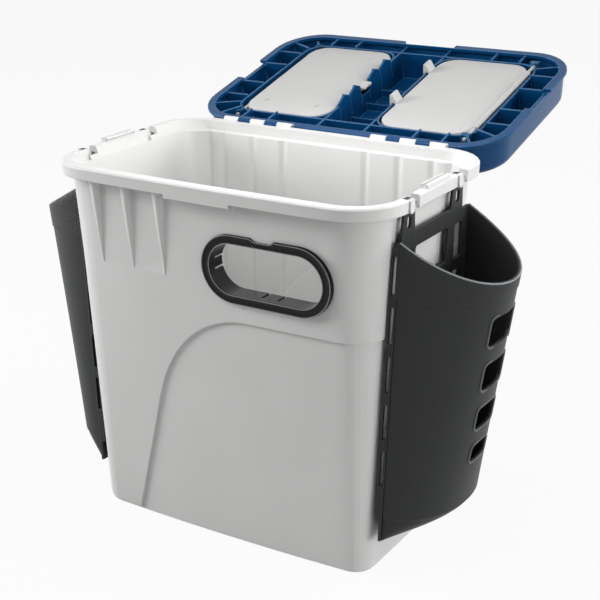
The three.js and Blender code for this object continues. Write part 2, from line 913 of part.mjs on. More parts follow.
function lidRibs() {
  const ribs = [];
  const reachX = lidWidth / 2 - lid.flangeWidth + lid.ribSink;
  const nearX = wellOuterX - lid.rib / 2;
  const farY = lidBack - lidDepth + lid.flangeWidth - lid.ribSink;
  const backY = lidBack - lid.wall;
  const wellFront = wellCentreY - wellHalfY + lid.rib / 2;
  const wellBack = wellCentreY + wellHalfY - lid.rib / 2;
  for (const side of [-1, 1]) {
    for (const along of lid.sideRibShares) {
      const y = wellCentreY + along * wellHalfY;
      ribs.push(ribBetween(side * nearX, y, side * reachX, y));
    }
    for (const along of lid.endRibShares) {
      const x = side * along * wellOuterX;
      ribs.push(ribBetween(x, wellFront, x, farY));
      ribs.push(ribBetween(x, wellBack, x, backY));
    }
    ribs.push(ribBetween(side * lid.channelHalf, backY, side * lid.channelHalf, farY, lid.wallEdge));
    for (const end of [-1, 1]) {
      const cornerX = side * (wellOuterX - lid.wellRadius);
      const cornerY = wellCentreY + end * (wellHalfY - lid.wellRadius);
      for (const degrees of lid.cornerRibDegrees) {
        const angle = THREE.MathUtils.degToRad(degrees);
        const near = lid.wellRadius - lid.rib / 2;
        const runX = (reachX - Math.abs(cornerX) - lid.cornerEase * Math.sin(angle)) / Math.cos(angle);
        const toY = end < 0 ? cornerY - farY - lid.cornerEase : backY - cornerY;
        const far = Math.min(runX, (toY - lid.cornerEase * Math.cos(angle)) / Math.sin(angle));
        const [cos, sin] = [side * Math.cos(angle), end * Math.sin(angle)];
        const [startX, startY] = [cornerX + near * cos, cornerY + near * sin];
        ribs.push(ribBetween(startX, startY, cornerX + far * cos, cornerY + far * sin));
      }
    }
  }
  for (const y of [wellBack, wellFront]) {
    const half = lid.channelHalf + lid.wellRadius;
    ribs.push(ribBetween(-half, y, half, y, lid.wallEdge));
  }
  for (const along of lid.channelRibShares) {
    const y = wellCentreY + along * wellHalfY;
    ribs.push(ribBetween(-lid.channelHalf, y, lid.channelHalf, y, roofZ - lid.channelRibHeight));
  }
  return ribs;
}

// Lid knuckles turn between the knuckles of the tub.
function lidKnuckle(start) {
  const from = start + hinge.knuckleLength + hinge.sideGap;
  const to = start + hinge.pitch - hinge.sideGap;
  const radius = hinge.knuckleRadius;
  const leave = 2 * Math.PI + Math.acos(lidBack / radius);
  const outline = [
    ...pointsOnArc(0, 0, radius, Math.PI, leave, hinge.sides),
    new THREE.Vector2(lidBack - lid.edgeRound, lid.lipHeight + 2 * lid.wall),
    new THREE.Vector2(lidBack - lid.wall, lid.lipHeight + 2 * lid.wall),
    new THREE.Vector2(lidBack - lid.wall, 0),
  ];
  return alongX(outline, from, to);
}

// Blue fingers that hold the left cover stand up from the channel wall.
const fingerWallX = -lid.channelHalf;

function fingerRanges() {
  const tab = wellCentreY + finger.tabShift;
  const half = finger.gap / 2;
  return [[tab + half, tab + half + finger.rearLength], [tab - half - finger.frontLength, tab - half]];
}

function fingers() {
  const bodies = [];
  const back = fingerWallX - lid.rib / 2;
  const front = fingerWallX + lid.rib / 2;
  for (const [low, high] of fingerRanges()) {
    const middle = (low + high) / 2;
    for (const [from, to] of [[low, middle], [middle, high]]) {
      const peak = from + (to - from) * finger.peakShare;
      const outline = [
        [from, lid.wallEdge + overrun],
        [from, finger.shoulder],
        [peak, finger.tip],
        [to, finger.shoulder],
        [to, lid.wallEdge + overrun],
      ].map(([y, z]) => new THREE.Vector2(y, z)).reverse();
      bodies.push(alongX(outline, back, front));
      bodies.push(alongX([
        [peak - finger.barbHalf, finger.shoulder],
        [peak, finger.tip],
        [peak + finger.barbHalf, finger.shoulder],
      ].map(([y, z]) => new THREE.Vector2(y, z)).reverse(), back - finger.barb, back + lid.rib / 2));
    }
  }
  return bodies;
}

function fingerCuts() {
  const cuts = [];
  const low = fingerWallX - lid.rib - finger.barb;
  const high = fingerWallX + lid.rib;
  for (const [from, to] of fingerRanges()) {
    for (const y of [from, (from + to) / 2, to]) {
      cuts.push(block(
        [low, y - finger.slit / 2, finger.tip - overrun],
        [high, y + finger.slit / 2, finger.slitEnd],
      ));
    }
  }
  const tab = wellCentreY + finger.tabShift;
  const half = finger.gap / 2;
  cuts.push(block([low, tab - half, finger.tip], [high, tab + half, finger.gapDepth]));
  return cuts;
}

// Cover pins turn in round seats in the end walls of the wells.
function pinSeats(side, axisZ) {
  const x = side * coverAxisX;
  const seats = [];
  for (const end of [-1, 1]) {
    const wallY = wellCentreY + end * (wellHalfY - lid.rib / 2);
    const inner = wallY - end * cover.seatInset;
    const low = Math.min(inner, wallY + end * cover.seatOut);
    const high = Math.max(inner, wallY + end * cover.seatOut);
    seats.push(block(
      [x - cover.seatHalf, low, axisZ - cover.seatHalf],
      [x + cover.seatHalf, high, axisZ + 2 * cover.seatHalf],
    ));
  }
  return seats;
}

function pinHole(side, axisZ) {
  const reach = wellHalfY + cover.seatOut + overrun;
  const radius = cover.pinRadius + cover.gap;
  return rodAlongY(radius, wellCentreY - reach, wellCentreY + reach, side * coverAxisX, axisZ);
}

function lidCuts() {
  const cuts = [];
  const outer = lidWidth / 2 + overrun;
  const inner = lidWidth / 2 - lid.flangeWidth - lid.edgeRound;
  const notchY = handleBlock.y - hingeY;
  const half = handleBlock.length / 2 + lid.notchGap;
  const notchTop = lid.lipHeight + lid.notchRise;
  const notch = block([inner, notchY - half, lid.edge - overrun], [outer, notchY + half, notchTop]);
  cuts.push(notch, mirrored(notch));
  const front = lidBack - lidDepth;
  cuts.push(block(
    [-lid.pullHalf, front - overrun, lid.edge - overrun],
    [lid.pullHalf, front + lid.flangeWidth - lid.edgeRound, lid.lipHeight + lid.edgeRound],
  ));
  for (const start of knuckleStarts) {
    const from = start - hinge.sideGap;
    const to = start + hinge.knuckleLength + hinge.sideGap;
    const clear = rodAlongX(hinge.knuckleRadius + hinge.turnGap, from, to, 0, 0);
    cuts.push(clear, mirrored(clear));
  }
  const bore = rodAlongX(hinge.pinRadius + hinge.pinGap, hinge.firstX, hingeEnd, 0, 0);
  cuts.push(bore, mirrored(bore));
  return cuts;
}

function makeLid() {
  const knuckles = knuckleStarts.slice(0, -1).map(lidKnuckle);
  const { shell, core } = lidShell();
  const body = joined([
    shell, joined(lidRibs()).intersect(core), wellWall(-1), wellWall(1), ...fingers(),
    ...pinSeats(1, cover.rightAxisZ), ...pinSeats(-1, cover.leftAxisZ),
  ]);
  const cut = without(body, [...lidCuts(), ...fingerCuts(),
    pinHole(1, cover.rightAxisZ), pinHole(-1, cover.leftAxisZ)]);
  const bore = rodAlongX(hinge.pinRadius + hinge.pinGap, hinge.firstX, hingeEnd, 0, 0);
  return without(joined([cut, ...knuckles, ...knuckles.map(mirrored)]), [bore, mirrored(bore)]);
}

// Covers lie in the wells and turn on pins along their outer edge.

const coverInnerX = lid.wellInnerX + lid.rib + cover.gap + cover.edgeGap;
const coverHalfY = wellHalfY - lid.rib - cover.gap - cover.edgeGap;

function coverPlate(axisZ, barrelRadius) {
  const outerX = coverAxisX;
  const halfX = (outerX - coverInnerX) / 2;
  const centreX = (outerX + coverInnerX) / 2;
  const ring = (inset, z) => roundedOutline(
    halfX - inset, coverHalfY - inset, Math.max(cover.radius - inset, cover.round), 0, lid.wellSteps,
  ).map((point) => new THREE.Vector3(point.x + centreX, point.y + wellCentreY, z));
  const face = cover.face;
  const outer = solid(loft([
    ring(cover.crownInset, face - cover.crown), ring(cover.round, face),
    ring(cover.round * cover.roundShare, face + cover.round * cover.roundShare),
    ring(0, face + cover.round), ring(0, face + cover.rimHeight),
  ]));
  const hollow = solid(loft([
    ring(cover.crownInset, face - cover.crown + cover.wall),
    ring(cover.wall + cover.round / 2, face + cover.wall),
    ring(cover.wall, face + cover.wall + cover.round / 2),
    ring(cover.wall, face + cover.rimHeight + overrun),
  ]));
  const barrelHalf = coverHalfY - cover.radius + cover.barrelReach;
  const barrel = rodAlongY(barrelRadius, wellCentreY - barrelHalf, wellCentreY + barrelHalf, outerX, axisZ);
  const pinHalf = wellHalfY + cover.pinOut;
  const pin = rodAlongY(cover.pinRadius, wellCentreY - pinHalf, wellCentreY + pinHalf, outerX, axisZ);
  const shell = joined([outer.subtract(hollow), barrel]);
  const cornerClear = block(
    [outerX - cover.radius, wellCentreY - pinHalf, face - overrun],
    [outerX + cover.radius, wellCentreY + pinHalf, face + cover.rimHeight + overrun],
  );
  const stubs = pin.intersect(cornerClear);
  return shell.add(stubs);
}

// Two hooks on the right cover reach over the channel wall.
function coverHooks() {
  const hooks = [];
  const edgeX = coverInnerX;
  const overX = lid.channelHalf - lid.rib / 2 - cover.gap;
  for (const along of cover.hookShares) {
    const y = wellCentreY + along * wellHalfY;
    const outline = [
      [edgeX + cover.hookWall, cover.face + cover.wall],
      [edgeX, cover.face + cover.wall],
      [edgeX, lid.wallEdge - cover.gap],
      [overX, lid.wallEdge - cover.gap],
      [overX, cover.hookFoot],
      [overX - cover.hookWall / 2, cover.hookFoot],
      [overX - cover.hookWall, lid.wallEdge],
      [overX - cover.hookWall / 2, cover.hookTip],
      [overX + cover.hookWall / 2, cover.hookTip],
      [edgeX + cover.hookWall, cover.face],
    ].map(([x, z]) => new THREE.Vector2(x, z));
    hooks.push(alongY(outline, y - cover.hookLength / 2, y + cover.hookLength / 2));
  }
  return hooks;
}

// A tab on the left cover reaches out between the fingers.
function coverTab() {
  const y = wellCentreY + finger.tabShift;
  const half = finger.gap / 2 - cover.tabGap;
  const face = cover.face;
  const outline = [
    [coverInnerX + cover.hookWall, face],
    [coverInnerX + cover.hookWall, face + cover.wall],
    [cover.tabEnd, face + cover.wall + cover.tabDrop],
    [cover.tabEnd, face + cover.tabDrop],
  ].map(([x, z]) => new THREE.Vector2(x, z)).reverse();
  return alongY(outline, y - half, y + half);
}

function coverNotches() {
  const cuts = [];
  for (const [from, to] of fingerRanges()) {
    cuts.push(block(
      [coverInnerX - overrun, from, finger.tip - overrun],
      [coverInnerX + finger.barb, to, cover.face + cover.rimHeight + overrun],
    ));
  }
  return cuts;
}

function makeRightCover() {
  return joined([coverPlate(cover.rightAxisZ, cover.barrelRadius), ...coverHooks()]);
}

function makeLeftCover() {
  return mirrored(without(joined([coverPlate(cover.leftAxisZ, cover.pinRadius), coverTab()]), coverNotches()));
}

// Side pockets, modelled on the right. The left ones are mirror images.

const wallSlope = (tub.topWidth - tub.bottomWidth) / 2 / tub.taperHeight;
const frameStandoff = neckX - hanger.neckThickness / 2 - wallAt(flangeBottom).halfX;
const frameThickness = hanger.neckThickness;
const shellBack = frameThickness + seatGap;

// Bodies drawn flat against the plane x = 0 are leaned onto the tapered side wall.
function leanOnWall(body) {
  const geometry = geometryOf(body);
  const lean = new THREE.Matrix4().set(
    1, 0, wallSlope, tub.bottomWidth / 2 + frameStandoff,
    0, 1, 0, 0,
    0, 0, 1, 0,
    0, 0, 0, 1,
  );
  geometry.applyMatrix4(lean);
  return solid(geometry);
}

function pocketHalfWidth(z) {
  const share = (z - pocket.bottom) / (pocket.mouthBack - pocket.bottom);
  return pocket.bottomHalfWidth + (pocket.topHalfWidth - pocket.bottomHalfWidth) * share;
}

function pocketDepth(z) {
  const share = (z - pocket.bottom) / (pocket.mouthBack - pocket.bottom);
  return pocket.bottomDepth + (pocket.topDepth - pocket.bottomDepth) * share;
}

// Below the low band the shell curves back towards the wall, to a short foot.
function bellyDepth(z) {
  const drop = Math.min(Math.max((pocket.lowBand - z) / (pocket.lowBand - pocket.bottom), 0), 1);
  const share = (1 - drop ** pocket.bellyPower) ** (1 / pocket.bellyPower);
  return pocket.foot + (pocketDepth(z) - pocket.foot) * share;
}

// Half an ellipse standing off the frame, closed along the frame or a little past it.
function shellRing(z, inset, past = 0, depth = pocketDepth(z)) {
  const arc = pointsOnArc(0, 0, 1, -Math.PI / 2, Math.PI / 2, pocket.steps);
  const points = arc.map((unit) => new THREE.Vector3(
    shellBack + unit.x * (depth - inset),
    pocket.centreY + unit.y * (pocketHalfWidth(z) - inset),
    z,
  ));
  if (past > 0) {
    const half = pocketHalfWidth(z) - inset;
    points.push(new THREE.Vector3(shellBack - past, pocket.centreY + half, z));
    points.push(new THREE.Vector3(shellBack - past, pocket.centreY - half, z));
  }
  return points;
}

function mouthHeight(reach) {
  return pocket.mouthBack - pocket.mouthFall * reach + (pocket.mouthEase * reach ** 2) / pocket.topDepth;
}

function mouthCut() {
  const far = pocket.topDepth + 2 * pocket.wall + overrun;
  const near = -frameThickness;
  const points = [];
  for (let step = 0; step <= pocket.mouthSteps; step += 1) {
    const reach = near + ((far - near) * step) / pocket.mouthSteps;
    points.push(new THREE.Vector2(shellBack + reach, mouthHeight(Math.max(reach, 0))));
  }
  points.push(new THREE.Vector2(shellBack + far, pocket.mouthBack + 2 * overrun));
  points.push(new THREE.Vector2(shellBack + near, pocket.mouthBack + 2 * overrun));
  const half = pocket.bottomHalfWidth + overrun;
  return alongY(points, pocket.centreY - half, pocket.centreY + half);
}

function roundedRectangle(centreY, centreZ, width, height, radius, steps = pocket.slotSteps) {
  return roundedOutline(width / 2, height / 2, radius, 0, steps)
    .map((point) => new THREE.Vector2(point.x + centreY, point.y + centreZ));
}

const gapHeights = Array.from({ length: pocket.gapCount }, (_, row) => pocket.gapTop - pocket.gapPitch * row);
const pegHeights = Array.from({ length: pocket.pegRows }, (_, row) => pocket.pegFirst + pocket.pegPitch * row);
const pegPlaces = pegHeights.flatMap((z) => [-1, 1].map((side) => [
  pocket.centreY + side * (pocketHalfWidth(z) - pocket.pegInset), z,
]));

function makePocketShell() {
  const bellyHeights = Array.from({ length: pocket.bellySteps + 1 }, (_, step) => (
    pocket.bottom + ((pocket.lowBand - pocket.bottom) * step ** 2) / pocket.bellySteps ** 2
  ));
  const outer = solid(loft([
    ...bellyHeights.map((z) => shellRing(z, pocket.lowStep, 0, bellyDepth(z))),
    shellRing(pocket.lowBand + pocket.lowStep, 0),
    shellRing(pocket.collar - pocket.collarProud, 0),
    shellRing(pocket.collar, -pocket.collarProud),
    shellRing(pocket.mouthBack + overrun, -pocket.collarProud),
  ]));
  const inside = solid(loft([
    ...bellyHeights.slice(1).map((z) => (
      shellRing(z + pocket.wall, pocket.wall + pocket.lowStep, overrun, bellyDepth(z))
    )),
    shellRing(pocket.collar, pocket.wall, overrun),
    shellRing(pocket.mouthBack + 2 * overrun, pocket.wall, overrun),
  ]));
  const slots = pocket.slotRows.map(({ height, wide, tall }) => {
    const outline = roundedRectangle(pocket.centreY, height, wide, tall, pocket.slotRadius);
    return alongX(outline, shellBack + pocket.bottomDepth / 2, shellBack + 2 * pocket.topDepth);
  });
  const bosses = pegPlaces.map(([y, z]) => (
    rodAlongX(pocket.bossRadius, shellBack, shellBack + pocket.bossLength, y, z, pocket.pegSides)
  ));
  const holes = pegPlaces.map(([y, z]) => rodAlongX(
    pocket.pegRadius + seatGap, 0, shellBack + pocket.bossLength - pocket.wall, y, z, pocket.pegSides,
  ));
  const shell = outer.subtract(inside);
  return leanOnWall(without(joined([shell, ...bosses]), [...holes, ...slots, mouthCut()]));
}

function makePocketFrame() {
  const armTop = flangeBottom - hanger.ledge - pocket.armClear;
  const half = pocket.topHalfWidth + pocket.frameEdge;
  const low = pocket.bottomHalfWidth + pocket.frameEdge;
  const arms = notchPlaces.map((y) => y - pocket.armShift);
  const outline = [[pocket.centreY - low, pocket.bottom], [pocket.centreY + low, pocket.bottom],
    [pocket.centreY + half, pocket.shoulder]];
  for (const [index, y] of [...arms].reverse().entries()) {
    outline.push([y + pocket.armWidth / 2, index === 0 ? pocket.shoulder : pocket.barTop]);
    outline.push([y + pocket.armTopWidth / 2, armTop]);
    outline.push([y - pocket.armTopWidth / 2, armTop]);
    outline.push([y - pocket.armWidth / 2, index === 0 ? pocket.barTop : pocket.shoulder]);
  }
  outline.push([pocket.centreY - half, pocket.shoulder]);
  const shape = shapeOf(outline.map(([y, z]) => new THREE.Vector2(y, z)));
  for (const [from, to] of pocket.windows) {
    const centre = (arms[0] + arms[1]) / 2;
    shape.holes.push(new THREE.Path(roundedRectangle(
      centre, (from + to) / 2, pocket.windowWidth, to - from, pocket.windowRadius, pocket.holeSteps,
    )));
  }
  for (const z of gapHeights) {
    for (const side of [-1, 1]) {
      const y = pocket.centreY + side * pocket.gapReach;
      shape.holes.push(new THREE.Path(roundedRectangle(
        y, z, pocket.gapWidth, pocket.gapHeight, pocket.gapRadius, pocket.holeSteps,
      )));
    }
  }
  for (const y of arms) {
    shape.holes.push(new THREE.Path(roundedRectangle(
      y, pocket.armSlitZ, pocket.armSlitWidth, pocket.armSlitHeight, pocket.armSlitWidth / 2 - pocket.sliver,
    )));
  }
  const plate = new THREE.ExtrudeGeometry(shape, { depth: frameThickness, bevelEnabled: false });
  plate.applyMatrix4(new THREE.Matrix4().makeBasis(
    new THREE.Vector3(0, 1, 0), new THREE.Vector3(0, 0, 1), new THREE.Vector3(1, 0, 0),
  ));
  const foot = -frameStandoff + pocket.flangeGap;
  const flangeEdge = (z, inset) => new THREE.Vector2(pocketHalfWidth(z) + pocket.frameEdge - inset, z);
  const flangeOutline = [
    flangeEdge(pocket.flangeLow, frameThickness), flangeEdge(pocket.flangeLow, 0),
    flangeEdge(pocket.shoulder, 0), flangeEdge(pocket.shoulder, frameThickness),
  ];
  const flangeGaps = [-1, 1].flatMap((side) => gapHeights.map((z) => {
    const edge = pocketHalfWidth(z) + pocket.frameEdge;
    const ends = [edge - 2 * frameThickness, edge + overrun].map((reach) => pocket.centreY + side * reach);
    return block(
      [foot + pocket.flangeGapWall, Math.min(...ends), z - pocket.gapHeight / 2],
      [pocket.flangeGapSink, Math.max(...ends), z + pocket.gapHeight / 2],
    );
  }));
  const ease = alongY([
    [foot - overrun, pocket.shoulder - pocket.flangeEase],
    [0, pocket.shoulder],
    [foot - overrun, pocket.shoulder + overrun],
  ].map(([x, z]) => new THREE.Vector2(x, z)), -rimHalfY, rimHalfY);
  const flanges = [-1, 1].map((side) => {
    const outline = flangeOutline.map((point) => new THREE.Vector2(pocket.centreY + side * point.x, point.y));
    if (side < 0) outline.reverse();
    return alongX(outline, foot, frameThickness / 2);
  });
  const holes = pegPlaces.map(([y, z]) => (
    rodAlongX(pocket.pegRadius + seatGap, -overrun, shellBack + overrun, y, z, pocket.pegSides)
  ));
  const flat = leanOnWall(without(joined([solid(plate), ...flanges]), [...holes, ...flangeGaps, ease]));
  const heads = notchPlaces.flatMap((notchY) => {
    const y = neckY(notchY);
    const neckHalf = hanger.neckThickness / 2;
    const headHalf = hanger.headThickness / 2;
    const headFoot = flangeBottom + hanger.headSink;
    return [
      block([neckX - neckHalf, y - hanger.neckWidth / 2, armTop - overrun],
        [neckX + neckHalf, y + hanger.neckWidth / 2, headFoot + hanger.headHeight / 2]),
      block([neckX - headHalf, y - hanger.headWidth / 2, headFoot],
        [neckX + headHalf, y + hanger.headWidth / 2, headFoot + hanger.headHeight]),
    ];
  });
  return joined([flat, ...heads]);
}

// Pegs hold the shell on the frame.
function makePeg([y, z]) {
  const end = shellBack + pocket.bossLength - pocket.wall - seatGap;
  const shaft = rodAlongX(pocket.pegRadius, -pocket.pegHead, end, y, z, pocket.pegSides);
  const head = rodAlongX(pocket.pegHeadRadius, -pocket.pegHead - seatGap, -seatGap, y, z, pocket.pegSides);
  return leanOnWall(shaft.add(head));
}

// Assembly

function material(color, roughness, metalness = 0) {
  return new THREE.MeshStandardMaterial({ color, roughness, metalness });
}

const finishes = {
  tub: () => material(0xc9c9c7, 0.55),
  lid: () => material(0x0f4b87, 0.42),
  cover: () => material(0xcfcfcd, 0.5),
  pocket: () => material(0x2f3032, 0.62),
  ring: () => material(0x151617, 0.22),
  pin: () => material(0xb8babc, 0.35, 0.9),
};

function part(name, body, finish) {
  const mesh = new THREE.Mesh(geometryOf(body), finish);
  mesh.name = name;
  return mesh;
}

const seatBox = new THREE.Group();
seatBox.add(part("tub", makeTub(), finishes.tub()));
seatBox.add(part("window_ring", makeWindowRing(), finishes.ring()));

const rightPin = makeHingePin();
seatBox.add(part("hinge_pin_right", rightPin, finishes.pin()));
seatBox.add(part("hinge_pin_left", mirrored(rightPin), finishes.pin()));

const lidGroup = new THREE.Group();
lidGroup.position.set(0, hingeY, hingeZ);
lidGroup.rotation.x = THREE.MathUtils.degToRad(-openDegrees);
lidGroup.add(part("lid", makeLid(), finishes.lid()));
lidGroup.add(part("right_cover", makeRightCover(), finishes.cover()));
lidGroup.add(part("left_cover", makeLeftCover(), finishes.cover()));
seatBox.add(lidGroup);

const rightPieces = [
  ["pocket_shell", makePocketShell()],
  ["pocket_frame", makePocketFrame()],
  ...pegPlaces.map((place, index) => [`pocket_peg_${index + 1}`, makePeg(place)]),
];
for (const [name, body] of rightPieces) {
  seatBox.add(part(`${name}_right`, body, finishes.pocket()));
  seatBox.add(part(`${name}_left`, mirrored(body), finishes.pocket()));
}

export default seatBox;
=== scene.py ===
"""Looks of the fishing seat box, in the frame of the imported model.

Shapes are worked out in millimetres, with x to the right, y to the rear and z up. Camera, floor and lamps
are placed in metres.
"""

import math

import bmesh
import bpy
from mathutils import Matrix, Vector


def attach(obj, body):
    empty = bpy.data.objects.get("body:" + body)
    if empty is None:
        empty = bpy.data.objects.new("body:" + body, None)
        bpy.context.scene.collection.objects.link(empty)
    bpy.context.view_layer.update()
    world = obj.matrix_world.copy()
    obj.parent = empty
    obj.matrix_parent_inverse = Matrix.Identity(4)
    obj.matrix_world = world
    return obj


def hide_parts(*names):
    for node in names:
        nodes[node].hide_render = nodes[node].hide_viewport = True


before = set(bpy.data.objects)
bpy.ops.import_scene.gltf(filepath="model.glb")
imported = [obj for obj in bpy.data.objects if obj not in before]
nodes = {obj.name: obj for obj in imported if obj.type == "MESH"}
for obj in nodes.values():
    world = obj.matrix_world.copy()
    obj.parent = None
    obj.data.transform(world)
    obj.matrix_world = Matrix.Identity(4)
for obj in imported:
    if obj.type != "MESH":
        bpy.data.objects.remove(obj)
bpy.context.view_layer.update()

MM = 0.001

# Camera, at the photograph's angle

IMAGE_WIDTH = 600
SENSOR_WIDTH = 36.0
FOCAL_PIXELS = 1349.07
CAMERA_PLACE = Vector((0.64966, -0.98763, 0.64605))
CAMERA_YAW = math.radians(31.94)
CAMERA_PITCH = math.radians(20.34)
CAMERA_ROLL = -0.01263
AXIS_SHIFT_PIXELS = (2.77, 0.88)


def make_camera():
    back = Vector(
        (
            math.sin(CAMERA_YAW) * math.cos(CAMERA_PITCH),
            -math.cos(CAMERA_YAW) * math.cos(CAMERA_PITCH),
            math.sin(CAMERA_PITCH),
        )
    )
    level_right = Vector((0, 0, 1)).cross(back).normalized()
    level_up = back.cross(level_right)
    right = math.cos(CAMERA_ROLL) * level_right + math.sin(CAMERA_ROLL) * level_up
    up = math.cos(CAMERA_ROLL) * level_up - math.sin(CAMERA_ROLL) * level_right
    data = bpy.data.cameras.new("camera")
    data.sensor_width = SENSOR_WIDTH
    data.lens = FOCAL_PIXELS / IMAGE_WIDTH * SENSOR_WIDTH
    data.shift_x = -AXIS_SHIFT_PIXELS[0] / IMAGE_WIDTH
    data.shift_y = AXIS_SHIFT_PIXELS[1] / IMAGE_WIDTH
    camera = bpy.data.objects.new("camera", data)
    turn = Matrix((right, up, back)).transposed()
    camera.matrix_world = Matrix.Translation(CAMERA_PLACE) @ turn.to_4x4()
    bpy.context.scene.collection.objects.link(camera)
    bpy.context.scene.camera = camera


# Nodes that materials are put together from


def srgb(red, green, blue):
    """A colour given in the usual 0 to 255 steps, as linear values."""

    def linear(value):
        share = value / 255
        return share / 12.92 if share <= 0.04045 else ((share + 0.055) / 1.055) ** 2.4

    return (linear(red), linear(green), linear(blue), 1.0)


def shaded(color, factor):
    return tuple(min(1, value * factor) for value in color[:3]) + (1,)


def add_node(tree, kind, **settings):
    node = tree.nodes.new(kind)
    for key, value in settings.items():
        setattr(node, key, value)
    return node


def noise(tree, place, scale, detail):
    """A cloudy pattern with about that many spots to the metre."""
    node = add_node(tree, "ShaderNodeTexNoise")
    node.inputs["Scale"].default_value = scale
    node.inputs["Detail"].default_value = detail
    tree.links.new(place, node.inputs["Vector"])
    return node.outputs["Fac"]


def between(tree, value, low, high, start=0.0, end=1.0):
    """The value's run from start to end, carried over to low to high."""
    node = add_node(tree, "ShaderNodeMapRange")
    for key, number in (("From Min", start), ("From Max", end), ("To Min", low), ("To Max", high)):
        node.inputs[key].default_value = number
    tree.links.new(value, node.inputs["Value"])
    return node.outputs["Result"]


def mixed(tree, factor, first, second):
    """A colour between two, each a fixed colour or a socket."""
    node = add_node(tree, "ShaderNodeMix", data_type="RGBA")
    tree.links.new(factor, node.inputs["Factor"])
    for key, value in (("A", first), ("B", second)):
        if isinstance(value, tuple):
            node.inputs[key].default_value = value
        else:
            tree.links.new(value, node.inputs[key])
    return node.outputs["Result"]


# Moulded plastic: fine grain, uneven tint, rounded edges, and sharp edges tinted lighter: edge wear, and on
# the lid a painted highlight

PLASTIC_IOR = 1.46
CLOUD_SCALE = 14
CLOUD_DETAIL = 4
SHEEN_SPREAD = 0.12
GRAIN_DETAIL = 3
GRAIN_HEIGHT = 0.2
EDGE_SAMPLES = 6
EDGE_TINT_FULL = 0.74
EDGE_TINT_NONE = 0.97
PEBBLE_SCALE = 620
PEBBLE_STRENGTH = 0.6
PEBBLE_HEIGHT = 0.6
PEBBLE_BLEND = 1.0


def wear_and_highlight_mask(tree, rounding):
    """1 along sharp edges and 0 on open faces."""
    facing = add_node(tree, "ShaderNodeNewGeometry").outputs["True Normal"]
    likeness = add_node(tree, "ShaderNodeVectorMath", operation="DOT_PRODUCT")
    tree.links.new(facing, likeness.inputs[0])
    tree.links.new(rounding, likeness.inputs[1])
    return between(tree, likeness.outputs["Value"], 1.0, 0.0, start=EDGE_TINT_FULL, end=EDGE_TINT_NONE)


def grain_bump(tree, place, scale, strength, rounding):
    bump = add_node(tree, "ShaderNodeBump")
    bump.inputs["Strength"].default_value = strength
    bump.inputs["Distance"].default_value = GRAIN_HEIGHT * MM
    tree.links.new(noise(tree, place, scale, GRAIN_DETAIL), bump.inputs["Height"])
    tree.links.new(rounding, bump.inputs["Normal"])
    return bump.outputs["Normal"]


def pebble_bump(tree, place, lowest, normal):
    """Coarse grain above a height in millimetres."""
    cells = add_node(tree, "ShaderNodeTexVoronoi")
    cells.inputs["Scale"].default_value = PEBBLE_SCALE
    tree.links.new(place, cells.inputs["Vector"])
    parts = add_node(tree, "ShaderNodeSeparateXYZ")
    tree.links.new(place, parts.inputs["Vector"])
    full = lowest + PEBBLE_BLEND
    strength = between(tree, parts.outputs["Z"], 0.0, PEBBLE_STRENGTH, start=lowest * MM, end=full * MM)
    bump = add_node(tree, "ShaderNodeBump")
    bump.inputs["Distance"].default_value = PEBBLE_HEIGHT * MM
    tree.links.new(strength, bump.inputs["Strength"])
    tree.links.new(cells.outputs["Distance"], bump.inputs["Height"])
    tree.links.new(normal, bump.inputs["Normal"])
    return bump.outputs["Normal"]


def plastic(
    name,
    color,
    roughness,
    grain,
    grain_strength,
    edge,
    wear_and_highlight=None,
    mottle=0.04,
    gloss=0.5,
    pebbles_above=None,
):
    """Edges are rounded by edge millimetres and tinted to the colour wear_and_highlight: edge wear, and on
    the lid a painted highlight. The tint varies by mottle.
    """
    material = bpy.data.materials.new(name)
    material.use_nodes = True
    tree = material.node_tree
    shader = tree.nodes["Principled BSDF"]
    shader.inputs["IOR"].default_value = PLASTIC_IOR
    shader.inputs["Specular IOR Level"].default_value = gloss
    place = add_node(tree, "ShaderNodeTexCoord").outputs["Object"]
    cloud = noise(tree, place, CLOUD_SCALE, CLOUD_DETAIL)
    tint = mixed(tree, cloud, shaded(color, 1 - mottle), shaded(color, 1 + mottle))
    corners = add_node(tree, "ShaderNodeBevel", samples=EDGE_SAMPLES)
    corners.inputs["Radius"].default_value = edge * MM
    rounding = corners.outputs["Normal"]
    # Lighter tint along sharp edges: edge wear, and on the lid a painted highlight on the rib tops.
    if wear_and_highlight:
        tint = mixed(tree, wear_and_highlight_mask(tree, rounding), tint, wear_and_highlight)
    tree.links.new(tint, shader.inputs["Base Color"])
    sheen = between(tree, cloud, roughness * (1 - SHEEN_SPREAD), roughness * (1 + SHEEN_SPREAD))
    tree.links.new(sheen, shader.inputs["Roughness"])
    normal = grain_bump(tree, place, grain, grain_strength, rounding)
    if pebbles_above:
        normal = pebble_bump(tree, place, pebbles_above, normal)
    tree.links.new(normal, shader.inputs["Normal"])
    return material


# Finishes

COLLAR_HEIGHT = 262.0

tub_plastic = plastic(
    "tub_plastic", srgb(203, 203, 202), roughness=0.5, grain=900, grain_strength=0.25, edge=1.2,
)
